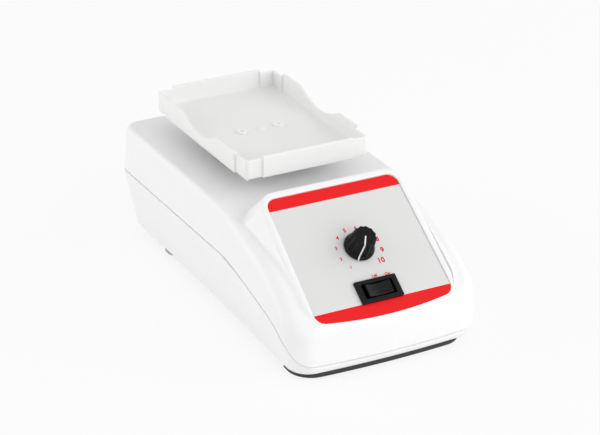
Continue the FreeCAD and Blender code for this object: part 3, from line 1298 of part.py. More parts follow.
NODES = (upper_housing, lower_housing, front_foot_bar, rear_feet, base_plate, guide_posts, post_nuts,
         plate_bushes, cradle_springs, motor_plate, motor_can, motor_end_bell, motor_bearings,
         motor_screws, motor_shaft, armature, cooling_fan, eccentric_hub, hub_set_screw, counterweight,
         bearing_carrier, head_bearings, retaining_ring, drip_skirt, microplate_tray, tray_screws,
         centre_cap, panel_label, speed_pot, pot_nut, pot_shaft, speed_knob, knob_pointer,
         knob_grub_screw, switch_body, rocker_pin, rocker_paddle, switch_terminals, control_board,
         board_standoffs, board_screws, heat_sink, board_parts, touch_switch, touch_plunger,
         switch_bracket, mains_inlet, inlet_pins, inlet_screws, fuse_drawer, fuses, mains_leads,
         housing_screws, ballast_screws)

for make in NODES:
    save(make.__name__, make())
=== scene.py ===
"""Microplate vortex mixer: the finished surfaces of a bench instrument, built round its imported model.

The housing, tray, label, knob and switch are numpy surfaces; the rest keeps the model's own solids and
takes its finish here. Sizes are in millimetres and angles in degrees until a mesh is made, and meshes are
in metres in the model's frame: +Z up, +Y to the back, the control panel facing -Y.
"""

import json
import logging
import math
from dataclasses import dataclass, field
from enum import Enum
from typing import Callable, Optional, Sequence, Union

import bpy
import numpy as np
from bpy.types import Material, Node, NodeSocket, Object, World
from mathutils import Matrix, Vector

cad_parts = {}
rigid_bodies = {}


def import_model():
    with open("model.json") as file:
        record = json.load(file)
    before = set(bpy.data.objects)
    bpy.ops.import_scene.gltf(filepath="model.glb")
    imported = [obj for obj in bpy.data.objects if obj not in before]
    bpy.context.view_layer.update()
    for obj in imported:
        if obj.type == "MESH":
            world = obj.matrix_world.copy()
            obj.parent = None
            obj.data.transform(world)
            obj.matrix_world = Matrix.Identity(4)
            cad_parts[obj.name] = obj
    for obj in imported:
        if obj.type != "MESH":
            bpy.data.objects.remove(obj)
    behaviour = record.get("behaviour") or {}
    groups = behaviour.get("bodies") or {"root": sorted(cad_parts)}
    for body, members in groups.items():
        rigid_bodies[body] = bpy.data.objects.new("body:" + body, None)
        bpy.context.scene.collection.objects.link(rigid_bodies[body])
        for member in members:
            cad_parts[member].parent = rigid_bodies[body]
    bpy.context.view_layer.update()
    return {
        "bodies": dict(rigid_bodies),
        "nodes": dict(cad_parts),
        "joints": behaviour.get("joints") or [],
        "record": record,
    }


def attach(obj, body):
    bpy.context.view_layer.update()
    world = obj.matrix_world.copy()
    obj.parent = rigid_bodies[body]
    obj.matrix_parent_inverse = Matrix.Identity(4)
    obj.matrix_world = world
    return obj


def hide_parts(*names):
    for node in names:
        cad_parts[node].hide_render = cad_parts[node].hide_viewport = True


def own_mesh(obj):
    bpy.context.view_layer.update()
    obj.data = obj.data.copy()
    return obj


LOG = logging.getLogger("mixer")
MM = 0.001
Array = np.ndarray
Color = tuple[float, float, float]
Place = tuple[float, float, float]
PURE: Color = (1.0, 1.0, 1.0)


class Body(str, Enum):
    """Moving bodies of the model that pieces ride on."""

    HOUSING = "housing"
    TRAY = "tray_head"
    KNOB = "knob"
    ROCKER = "rocker"


# Shader maths
def _operator(operation: str, swapped: bool = False) -> Callable[["Term", Union["Term", float]], "Term"]:
    """Method of Term that adds one kind of Math node.

    Args:
        operation: the node's operation, such as ADD.
        swapped: take the other value first, as an operator's reflected form does.

    Returns:
        The method.
    """
    def apply(self: "Term", other: Union["Term", float]) -> "Term":
        """Result of the operation.

        Args:
            other: the second value.

        Returns:
            The node's result.
        """
        values = (other, self) if swapped else (self, other)
        node = self.net.node("ShaderNodeMath", {"operation": operation}, dict(enumerate(values)))
        return Term(self.net, node.outputs[0])

    return apply


class Term:
    """A number that varies over a surface.

    Operators on it add Math nodes, and a comparison gives one or nought.
    """

    def __init__(self, net: "Net", socket: NodeSocket) -> None:
        """Wrap one output socket of a node tree."""
        self.net = net
        self.socket = socket

    __add__, __radd__ = _operator("ADD"), _operator("ADD", True)
    __sub__, __rsub__ = _operator("SUBTRACT"), _operator("SUBTRACT", True)
    __mul__, __rmul__ = _operator("MULTIPLY"), _operator("MULTIPLY", True)
    __gt__, __lt__ = _operator("GREATER_THAN"), _operator("LESS_THAN")
    either = _operator("MAXIMUM")


class Net:
    """The node tree of one material or world."""

    def __init__(self, owner: Union[Material, World]) -> None:
        """Take the tree that a material or world starts with.

        Args:
            owner: the material or world.
        """
        owner.use_nodes = True
        self.owner = owner
        self.tree = owner.node_tree
        self.shader = self.tree.nodes.get("Principled BSDF")

    def node(self, kind: str, settings: Optional[dict] = None, values: Optional[dict] = None) -> Node:
        """Add a node.

        Args:
            kind: the node's type name.
            settings: attributes set first.
            values: socket name or number to a number, colour, Term or output socket.

        Returns:
            The new node.
        """
        node = self.tree.nodes.new(kind)
        for key, value in (settings or {}).items():
            setattr(node, key, value)
        for key, value in (values or {}).items():
            self.put(node.inputs[key], value)
        return node

    def put(self, socket: NodeSocket, value: object) -> None:
        """Link a socket to a Term or an output socket, or set its own value.

        Args:
            socket: the input.
            value: a Term, an output socket, a colour or a number.
        """
        if isinstance(value, Term):
            self.tree.links.new(value.socket, socket)
        elif isinstance(value, NodeSocket):
            self.tree.links.new(value, socket)
        elif isinstance(value, tuple) and len(value) == 3 and socket.type == "RGBA":
            socket.default_value = (*value, 1.0)
        else:
            socket.default_value = value

    def along(self, axis: Place) -> Term:
        """Distance along an axis of the model's frame.

        Args:
            axis: unit vector.

        Returns:
            The distance in metres.
        """
        place = self.node("ShaderNodeTexCoord").outputs["Object"]
        node = self.node("ShaderNodeVectorMath", {"operation": "DOT_PRODUCT"}, {0: place, 1: axis})
        return Term(self, node.outputs["Value"])

    def noise(self, scale: float, detail: float = 3.0, stretch: Place = (1.0, 1.0, 1.0)) -> Term:
        """Noise on object coordinates.

        Args:
            scale: cells per metre.
            detail: octaves.
            stretch: how much denser the pattern is along each axis.

        Returns:
            The noise, about one half on average.
        """
        place = self.node("ShaderNodeTexCoord").outputs["Object"]
        mapped = self.node("ShaderNodeMapping", None, {"Vector": place, "Scale": stretch})
        made = self.node("ShaderNodeTexNoise", None,
                         {"Vector": mapped.outputs[0], "Scale": scale, "Detail": detail, "Roughness": 0.55})
        return Term(self, made.outputs["Fac"])

    def mix(self, factor: Union[Term, float], low: object, high: object) -> NodeSocket:
        """Blend two colours.

        Args:
            factor: nought gives low and one gives high.
            low: a colour or a colour socket.
            high: a colour or a colour socket.

        Returns:
            The blended colour's socket.
        """
        node = self.node("ShaderNodeMix", {"data_type": "RGBA"}, {0: factor, 6: low, 7: high})
        return node.outputs[2]

    def drift(self, color: Color, scale: float, less: float, more: float) -> NodeSocket:
        """Colour that wanders over slow noise between two factors of itself."""
        return self.mix(self.noise(scale, 2.0), shade(color, less), shade(color, more))

    def bump(self, height: Term, strength: float, distance: float) -> None:
        """Feed the shader's normal with a bump of that height in metres.

        Args:
            height: the relief in metres.
            strength: its share of the normal, up to one.
            distance: how deep it reads, in metres.
        """
        node = self.node("ShaderNodeBump", None,
                         {"Height": height, "Strength": strength, "Distance": distance})
        self.put(self.shader.inputs["Normal"], node.outputs[0])

    def set(self, **values: object) -> None:
        """Set the Principled shader's sockets, whose names are written with underscores."""
        for key, value in values.items():
            self.put(self.shader.inputs[key.replace("_", " ")], value)

    def seen(self) -> Term:
        """Mask of what the camera sees, straight on, in gloss and through glass.

        Returns:
            One there and nought for plain light.
        """
        path = self.node("ShaderNodeLightPath")
        camera, gloss, glass = (Term(self, path.outputs[name])
                                for name in ("Is Camera Ray", "Is Glossy Ray", "Is Transmission Ray"))
        return camera.either(gloss).either(glass)

    def between(self, share: Term, *shaders: NodeSocket) -> NodeSocket:
        """Shader between two others, the second where the share is one."""
        return self.node("ShaderNodeMixShader", None, {0: share, 1: shaders[0], 2: shaders[1]}).outputs[0]


def shade(color: Color, factor: float) -> Color:
    """A colour made lighter or darker by a factor, up to white."""
    return tuple(min(1.0, c * factor) for c in color)


# Finishes
@dataclass(frozen=True)
class Finish:
    """Name and main colour of a material."""

    name: str
    color: Color

    def build(self) -> Material:
        """Make the material.

        Returns:
            The material.
        """
        net = Net(bpy.data.materials.new(self.name))
        self.paint(net)
        return net.owner

    def paint(self, net: Net) -> None:
        """Set the sockets of the material's shader."""
        raise NotImplementedError


@dataclass(frozen=True)
class Moulded(Finish):
    """Moulded plastic or rubber: a fine spark-eroded grain over a faint cloud of tone."""

    roughness: float
    grain: float = 0.06
    gloss: float = 0.5
    sheen: float = 0.0

    def paint(self, net: Net) -> None:
        """Set the sockets of the material's shader.

        Args:
            net: the material's nodes.
        """
        scuff = net.noise(260.0, 4.0)
        net.set(Base_Color=net.drift(self.color, 22.0, 0.98, 1.02), Specular_IOR_Level=self.gloss,
                Roughness=self.roughness + (scuff - 0.5) * 0.10, Sheen_Weight=self.sheen)
        net.bump(net.noise(2600.0, 2.0), self.grain, 0.0003)


@dataclass(frozen=True)
class Metal(Finish):
    """Machined, plated or drawn metal with fine lines along one axis."""

    roughness: float
    metallic: float = 1.0

    def paint(self, net: Net) -> None:
        """Set the sockets of the material's shader.

        Args:
            net: the material's nodes.
        """
        lines = net.noise(420.0, 3.0, (1.0, 1.0, 30.0))
        net.set(Base_Color=net.drift(self.color, 60.0, 0.90, 1.08), Metallic=self.metallic,
                Roughness=self.roughness + (lines - 0.5) * 0.25)
        net.bump(lines, 0.12, 0.0002)


@dataclass(frozen=True)
class Laminate(Finish):
    """Circuit board: solder mask over a woven base, with paler traces."""

    def paint(self, net: Net) -> None:
        """Set the sockets of the material's shader.

        Args:
            net: the material's nodes.
        """
        weave = net.noise(900.0, 1.0, (1.0, 6.0, 1.0))
        trace = net.noise(150.0, 0.0, (1.0, 0.25, 1.0)) > 0.58
        net.set(Base_Color=net.mix(trace, self.color, shade(self.color, 1.8)), Roughness=0.35 + weave * 0.1)
        net.bump(trace + weave * 0.3, 0.15, 0.0001)


@dataclass(frozen=True)
class ClearGlass(Finish):
    """Glass of the fuse tubes, seen only inside their drawer."""

    def paint(self, net: Net) -> None:
        """Set the sockets of the material's shader."""
        smear = net.noise(300.0, 3.0)
        net.set(Base_Color=self.color, Roughness=0.03 + smear * 0.04, Transmission_Weight=0.9, IOR=1.5)


@dataclass(frozen=True)
class PrintedLabel(Finish):
    """Satin film of the panel: pale grey with a plain red band at its head and at its foot."""

    red: Color
    slope: Place
    head: float
    foot: float

    def paint(self, net: Net) -> None:
        """Set the sockets of the shader. A place's distance down the slope tells which band it is in.

        Args:
            net: the material's nodes.
        """
        down = net.along(self.slope)
        band = (down < self.head * MM).either(down > self.foot * MM)
        film = net.noise(1500.0, 2.0)
        grey = net.drift(self.color, 35.0, 0.985, 1.015)
        red = net.drift(self.red, 35.0, 0.97, 1.03)
        net.set(Base_Color=net.mix(band, grey, red), Specular_IOR_Level=0.2,
                Roughness=0.46 + (film - 0.5) * 0.12)
        net.bump(film, 0.05, 0.0002)


# Mesh helpers
def mesh_object(name: str, points: Array, faces: Sequence[Sequence[int]]) -> Object:
    """Make an object at the origin from points in millimetres.

    Args:
        name: the piece's name.
        points: n by 3 places in the model's frame.
        faces: corner numbers of each face.

    Returns:
        The linked object, shaded smooth.
    """
    mesh = bpy.data.meshes.new(name)
    mesh.from_pydata((np.asarray(points, float) * MM).tolist(), [], faces)
    mesh.validate()
    mesh.shade_smooth()
    made = bpy.data.objects.new(name, mesh)
    bpy.context.scene.collection.objects.link(made)
    return made


def ring_faces(rings: int, count: int, closed: bool = False) -> Array:
    """Quads between rings of points, each ring closed on itself.

    Args:
        rings: how many rings.
        count: points in each ring.
        closed: join the last ring to the first as well.

    Returns:
        Corner numbers, one row for each quad, ring by ring.
    """
    row = np.arange(rings if closed else rings - 1)[:, None]
    low, high = row * count, (row + 1) % rings * count
    here = np.arange(count)[None, :]
    after = (here + 1) % count
    return np.stack([low + here, low + after, high + after, high + here], -1).reshape(-1, 4)


def lofted(name: str, rings: Array, sharp: Optional[float] = None) -> Object:
    """Skin a stack of closed rings, with each end closed on its middle point.

    Args:
        name: the piece's name.
        rings: rings by points by 3, counter-clockwise seen from the side that the last ring faces.
        sharp: the angle in degrees from which edges stay sharp.

    Returns:
        The object.
    """
    count = rings.shape[1]
    size = rings.shape[0] * count
    here = np.arange(count)
    after = (here + 1) % count
    last = size - count
    faces = ring_faces(rings.shape[0], count).tolist()
    faces += np.stack([after, here, np.full(count, size)], -1).tolist()
    faces += np.stack([last + here, last + after, np.full(count, size + 1)], -1).tolist()
    made = mesh_object(name, np.vstack([rings.reshape(-1, 3), rings[0].mean(0), rings[-1].mean(0)]), faces)
    if sharp is not None:
        made.data.set_sharp_from_angle(angle=math.radians(sharp))
    return made


def carved(piece: Object, cutters: list[Object], sharp: float) -> Object:
    """Take the cutters out of a piece with exact Booleans, then remove them.

    Args:
        piece: the object to cut.
        cutters: closed solids.
        sharp: the angle in degrees from which the cut piece's edges stay sharp.

    Returns:
        The same object.
    """
    for number, cutter in enumerate(cutters):
        cut = piece.modifiers.new(f"cut_{number}", "BOOLEAN")
        cut.operation = "DIFFERENCE"
        cut.solver = "EXACT"
        cut.object = cutter
    graph = bpy.context.evaluated_depsgraph_get()
    mesh = bpy.data.meshes.new_from_object(piece.evaluated_get(graph))
    piece.modifiers.clear()
    piece.data = mesh
    mesh.name = piece.name
    mesh.shade_smooth()
    mesh.set_sharp_from_angle(angle=math.radians(sharp))
    for cutter in cutters:
        bpy.data.objects.remove(cutter)
    return piece


def placed(piece: Object, material: Material, body: Body,
           node: Optional[str] = None) -> Object:
    """Finish a piece and tie it to the model.

    Args:
        piece: the object.
        material: its only material.
        body: the moving body that it rides on.
        node: the model's node that it stands for, where it stands for one.

    Returns:
        The same object.
    """
    piece.data.materials.clear()
    piece.data.materials.append(material)
    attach(piece, body.value)
    if node:
        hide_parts(node)
    return piece


def ease(low: float, high: float, value: Array) -> Array:
    """Smooth step: nought up to low, one from high, and a cubic ease between them."""
    t = np.clip((value - low) / (high - low), 0.0, 1.0)
    return t * t * (3.0 - 2.0 * t)


def natural_spline(knots: Sequence[tuple[float, float]]) -> Callable[[Array], Array]:
    """Cubic curve through knots with straight ends, from the usual three-term equations.

    Args:
        knots: pairs of place and height, in rising order of place.

    Returns:
        A function from places to heights that keeps level beyond the last knots.
    """
    x, y = np.array(knots, float).T
    h = np.diff(x)
    size = len(x)
    system = np.eye(size)
    right = np.zeros(size)
    inner = np.arange(1, size - 1)
    system[inner, inner - 1] = h[:-1]
    system[inner, inner] = 2.0 * (h[:-1] + h[1:])
    system[inner, inner + 1] = h[1:]
    right[1:-1] = 6.0 * np.diff(np.diff(y) / h)
    bend = np.linalg.solve(system, right)

    def height(place: Array) -> Array:
        """Height of the curve at some places.

        Args:
            place: places along the curve.

        Returns:
            The heights.
        """
        p = np.clip(place, x[0], x[-1])
        i = np.clip(np.searchsorted(x, p) - 1, 0, size - 2)
        a, b, w = x[i + 1] - p, p - x[i], h[i]
        return ((bend[i] * a ** 3 + bend[i + 1] * b ** 3) / (6.0 * w)
                + (y[i] / w - bend[i] * w / 6.0) * a + (y[i + 1] / w - bend[i + 1] * w / 6.0) * b)

    return height


def around(count: int) -> Array:
    """Angles in radians that go once round a circle in even steps."""
    return np.linspace(0.0, 2.0 * math.pi, count, endpoint=False)


def turned(centre: tuple[float, float], radius: float, angles: Array) -> Array:
    """Points on a circle at angles in radians."""
    return np.stack([centre[0] + radius * np.cos(angles), centre[1] + radius * np.sin(angles)], -1)


def straight(start: Array, end: Array, count: int) -> Array:
    """Points from start towards end, without the end itself."""
    t = np.linspace(0.0, 1.0, count, endpoint=False)[:, None]
    return np.asarray(start) * (1.0 - t) + np.asarray(end) * t


def outward(loop: Array) -> Array:
    """Unit normals of a plane loop, each square to the chord between its point's neighbours.

    Args:
        loop: points in x and y, counter-clockwise.

    Returns:
        The normals, one for each point.
    """
    chord = np.roll(loop, -1, 0) - np.roll(loop, 1, 0)
    normal = np.stack([chord[:, 1], -chord[:, 0]], -1)
    return normal / np.linalg.norm(normal, axis=1, keepdims=True)


def round_box(half_x: float, half_y: float, radius: float, per_corner: int = 8, per_side: int = 12) -> Array:
    """Loop of a rectangle with round corners: quarter circles joined by straight runs.

    Args:
        half_x: half the width.
        half_y: half the depth.
        radius: the corners' radius.
        per_corner: points on each corner.
        per_side: points on each side.

    Returns:
        Points in x and y, counter-clockwise.
    """
    cx, cy = half_x - radius, half_y - radius
    parts = []
    for sx, sy, start in ((1, 1, 0.0), (-1, 1, 90.0), (-1, -1, 180.0), (1, -1, 270.0)):
        angles = np.radians(np.linspace(start, start + 90.0, per_corner))
        corner = turned((sx * cx, sy * cy), radius, angles)
        after = {0.0: (-cx, half_y), 90.0: (-half_x, -cy), 180.0: (cx, -half_y), 270.0: (half_x, cy)}[start]
        parts += [corner, straight(corner[-1], np.array(after), per_side)[1:]]
    return np.vstack(parts)


# The body's shape, shared by the housing and what sits on it
@dataclass(frozen=True)
class Panel:
    """Plane of the control panel: x across, u up the slope and n out of it, from the label's head."""

    tilt: float = 35.1
    top_y: float = -50.7
    top_z: float = 90.9
    knob_s: float = 46.7
    switch_s: float = 78.5

    def down(self) -> Place:
        """Unit vector down the slope, in the model's frame."""
        tilt = math.radians(self.tilt)
        return (0.0, -math.cos(tilt), -math.sin(tilt))

    def at(self, x: Array, u: Array, n: Array) -> Array:
        """Turn the panel's own coordinates by its tilt and move them to its place.

        Args:
            x: across the panel.
            u: up the slope from the label's head.
            n: out of the panel.

        Returns:
            Places in the model's frame.
        """
        c, s = math.cos(math.radians(self.tilt)), math.sin(math.radians(self.tilt))
        x, u, n = np.broadcast_arrays(np.asarray(x, float), u, n)
        return np.stack([x, self.top_y + c * u - s * n, self.top_z + s * u + c * n], -1)

    def on(self, loop: Array, n: Array) -> Array:
        """Places of a loop in x and u at a height over the panel."""
        return self.at(loop[..., 0], loop[..., 1], n)

    def height(self, y: Array) -> Array:
        """Height of the plane over a place's y."""
        return self.top_z + (y - self.top_y) * math.tan(math.radians(self.tilt))

    def matrix(self, x: float, u: float, n: float) -> Matrix:
        """Matrix in metres that sets something drawn in the xy plane down on the panel.

        Args:
            x: across the panel.
            u: up the slope from the label's head.
            n: out of the panel.

        Returns:
            The matrix.
        """
        tilt = Matrix.Rotation(math.radians(self.tilt), 4, "X")
        return Matrix.Translation(Vector(self.at(x, u, n) * MM)) @ tilt


@dataclass(frozen=True)
class Plan:
    """Closed outline with spreading sides, a bowed front and round corners."""

    half_rear: float
    half_front: float
    y_rear: float
    y_front: float
    r_rear: float
    r_front: float
    bow: float
    split: Optional[float] = None

    @property
    def slope(self) -> float:
        """How far a side moves out for each step back."""
        return (self.half_rear - self.half_front) / (self.y_rear - self.y_front)

    @property
    def bow_r(self) -> float:
        """Radius of the bowed front."""
        return (self.half_front ** 2 + self.bow ** 2) / (2.0 * self.bow)

    def side(self, y: Array) -> Array:
        """Half width between the sides at some y."""
        return self.half_front + self.slope * (y - self.y_front)

    def corners(self) -> tuple[Array, Array, float, float]:
        """Centres of the right front and right rear corners, and the angles where the side and bow begin.

        The front corner is the circle that touches the side line and the bow; its centre is found by
        stepping between the two conditions.

        Returns:
            The two centres, and the two angles in radians.
        """
        stretch = math.hypot(1.0, self.slope)
        middle = self.y_front + self.bow_r
        cy = self.y_front + self.r_front
        for _ in range(12):
            cx = self.side(cy) - self.r_front * stretch
            cy = middle - math.sqrt((self.bow_r - self.r_front) ** 2 - cx ** 2)
        ry = self.y_rear - self.r_rear
        rear = np.array([self.side(ry) - self.r_rear * stretch, ry])
        return np.array([cx, cy]), rear, math.atan2(-self.slope, 1.0), math.atan2(cy - middle, cx)

    def loop(self, counts: "Counts", fan: int = 0) -> Array:
        """Points of the outline, counter-clockwise from the right front corner's end.

        Args:
            counts: how many points each stretch has.
            fan: points of the rear corner, where it takes those of the rear side as well.

        Returns:
            Points in x and y.
        """
        front, rear, a_side, a_bow = self.corners()
        y0 = front[1] + self.r_front * math.sin(a_side)
        y1 = rear[1] + self.r_rear * math.sin(a_side)
        split = y1 if self.split is None else self.split
        y = np.linspace(y0, split, counts.side, endpoint=False)
        if not fan:
            y = np.concatenate([y, np.linspace(split, y1, counts.rear_side, endpoint=False)])
        arc = turned(rear, self.r_rear, np.linspace(a_side, math.pi / 2, (fan or counts.rear_corner) + 1))
        right = np.vstack([np.stack([self.side(y), y], -1), arc])
        mirror = np.array([-1.0, 1.0])
        back = straight(right[-1], right[-1] * mirror, counts.rear)[1:]
        corner = turned(front, self.r_front, np.linspace(a_bow, a_side, counts.corner, endpoint=False))
        low = corner[0]
        x = np.linspace(-low[0], low[0], counts.front + 1)[1:-1]
        bow = np.stack([x, self.y_front + self.bow_r - np.sqrt(self.bow_r ** 2 - x ** 2)], -1)
        left = np.vstack([right[::-1], corner[:0:-1], low[None]]) * mirror
        return np.vstack([right, back, left, bow, corner])


@dataclass(frozen=True)
class Counts:
    """How many points each stretch of an outline has."""

    side: int = 70
    rear_side: int = 60
    rear_corner: int = 24
    rear: int = 40
    corner: int = 24
    front: int = 60


@dataclass
class HousingShape:
    """Sizes and height functions of the moulded body."""

    panel: Panel = field(default_factory=Panel)
    counts: Counts = field(default_factory=Counts)
    length: float = 266.0
    width: float = 140.0
    rear_width: float = 134.0
    corner_front: float = 16.0
    corner_rear: float = 15.0
    bow: float = 3.0
    draft: float = 0.07
    deck_z: float = 79.2
    deck_front_y: float = -28.0
    fall: float = 0.247
    nose_drop: float = 19.0
    nose_run: float = 98.0
    nose_power: float = 3.9
    fall_soft: float = 6.0
    roll_r: Place = (3.0, 8.0, 5.0)
    seam_rear_z: float = 48.0
    seam_front_z: float = 10.0
    seam_side_z: float = 26.0
    seam_drops: tuple[tuple[float, float], ...] = (
        (-136.0, 38.6), (-129.0, 35.5), (-121.0, 26.5), (-107.0, 17.0), (-86.0, 10.8), (-57.0, 4.4),
        (-42.0, 1.2), (-28.0, 0.1), (-10.0, 0.0))
    split_y: float = -45.0
    label_top: float = 95.0
    label_end: float = 99.5
    label_len: float = 96.0
    label_bow: float = 4.5
    label_r: float = 7.0
    bush_r: float = 3.9
    switch_hole: tuple[float, float] = (26.8, 12.8)
    nose_y: tuple[float, float] = (-100.0, -112.0)
    foot_u: tuple[float, float] = (-78.0, -92.0)

    def __post_init__(self) -> None:
        """Make the curve that the seam follows along the side."""
        self.seam = natural_spline([(y, self.seam_rear_z - drop) for y, drop in self.seam_drops])

    def wall_plan(self, z: float) -> Plan:
        """Outline of the drafted walls: every side moves in by the draft for each step up.

        Args:
            z: height.

        Returns:
            The outline.
        """
        d = self.draft * (z - self.seam_rear_z)
        half_front = self.width / 2 - self.draft * (self.seam_rear_z - self.seam_side_z)
        y_front = -self.length / 2 + self.draft * (self.seam_rear_z - self.seam_front_z)
        return Plan(self.rear_width / 2 - d, half_front - d, self.length / 2 - d, y_front + d,
                    self.corner_rear - d, self.corner_front - d, self.bow, self.split_y)

    def wall(self, z: Array) -> Array:
        """Places on the ruled walls: each point of the outline moves in a straight line with the height.

        Args:
            z: a height for each point of the outline.

        Returns:
            The places.
        """
        low, high = (self.wall_plan(level).loop(self.counts) for level in (0.0, 100.0))
        share = z[:, None] / 100.0
        return np.column_stack([low * (1.0 - share) + high * share, z])

    def crown(self, y: Array) -> Array:
        """Height of the shoulders: level, then falling in a line plus a steepening power of the run.

        Args:
            y: places along the body.

        Returns:
            The heights. The run starts softly, as (run + sqrt(run ** 2 + soft ** 2)) / 2.
        """
        run = self.deck_front_y - y
        run = 0.5 * (run + np.sqrt(run ** 2 + self.fall_soft ** 2))
        return self.deck_z - self.fall * run - self.nose_drop * (run / self.nose_run) ** self.nose_power

    def roof(self, y: Array) -> Array:
        """Height of the roof beside the console, which joins the panel's plane near the nose.

        Args:
            y: places along the body.

        Returns:
            The heights.
        """
        crown = self.crown(y)
        rise = np.maximum(self.panel.height(y) - crown, 0.0)
        return crown + rise * ease(*self.nose_y, y)

    def label_loop(self, grow: float) -> Array:
        """Outline of the label, grown outwards.

        Args:
            grow: how far.

        Returns:
            Points in the panel's x and u.
        """
        plan = Plan(self.label_top / 2 + grow, self.label_end / 2 + grow, grow, -self.label_len - grow,
                    self.label_r + grow, self.label_r + grow, self.label_bow)
        return plan.loop(self.counts, self.counts.rear_side + self.counts.rear_corner)

    def foot_share(self) -> Array:
        """One along the label's foot, nought along its sides and head."""
        return ease(*self.foot_u, self.label_loop(0.0)[:, 1])

    def grown(self, grow: Array) -> Array:
        """The label's outline grown by a width of its own at each point: all its points move in step."""
        low, high = self.label_loop(0.0), self.label_loop(5.0)
        return low + (high - low) * (np.asarray(grow) / 5.0)[:, None]

    def shoulder(self) -> tuple[Array, Array]:
        """Where the roof would meet the walls, and the walls' outward normals there.

        Returns:
            The places and the normals.
        """
        z = np.full(len(self.label_loop(0.0)), 60.0)
        for _ in range(5):
            z = self.roof(self.wall(z)[:, 1])
        corner = self.wall(z)
        return corner, outward(corner[:, :2])

    def roll(self, y: Array) -> Array:
        """Radius of the shoulder's roll, which eases from the deck's to the slope's and on to the nose's."""
        deck, slope, nose = self.roll_r
        return deck + (slope - deck) * ease(-25.0, -60.0, y) - (slope - nose) * ease(-112.0, -128.0, y)

    def panel_holes(self) -> list[Object]:
        """Solids through the panel where the knob's bush and the switch pass.

        Returns:
            The solids.
        """
        ring = turned((0.0, -self.panel.knob_s), self.bush_r, around(48))
        half_x, half_y = self.switch_hole[0] / 2, self.switch_hole[1] / 2
        hole = round_box(half_x, half_y, 0.4, 4, 6) - (0.0, self.panel.switch_s)
        return [lofted(name, np.stack([self.panel.on(loop, n) for n in (-9.0, 3.0)]))
                for name, loop in (("bush_hole", ring), ("switch_hole", hole))]

    def seam_height(self) -> Array:
        """Height of the seam for each point of the outline.

        Returns:
            The heights.
        """
        z = np.full(len(self.label_loop(0.0)), 40.0)
        for _ in range(5):
            z = self.seam(self.wall(z)[:, 1])
        return z


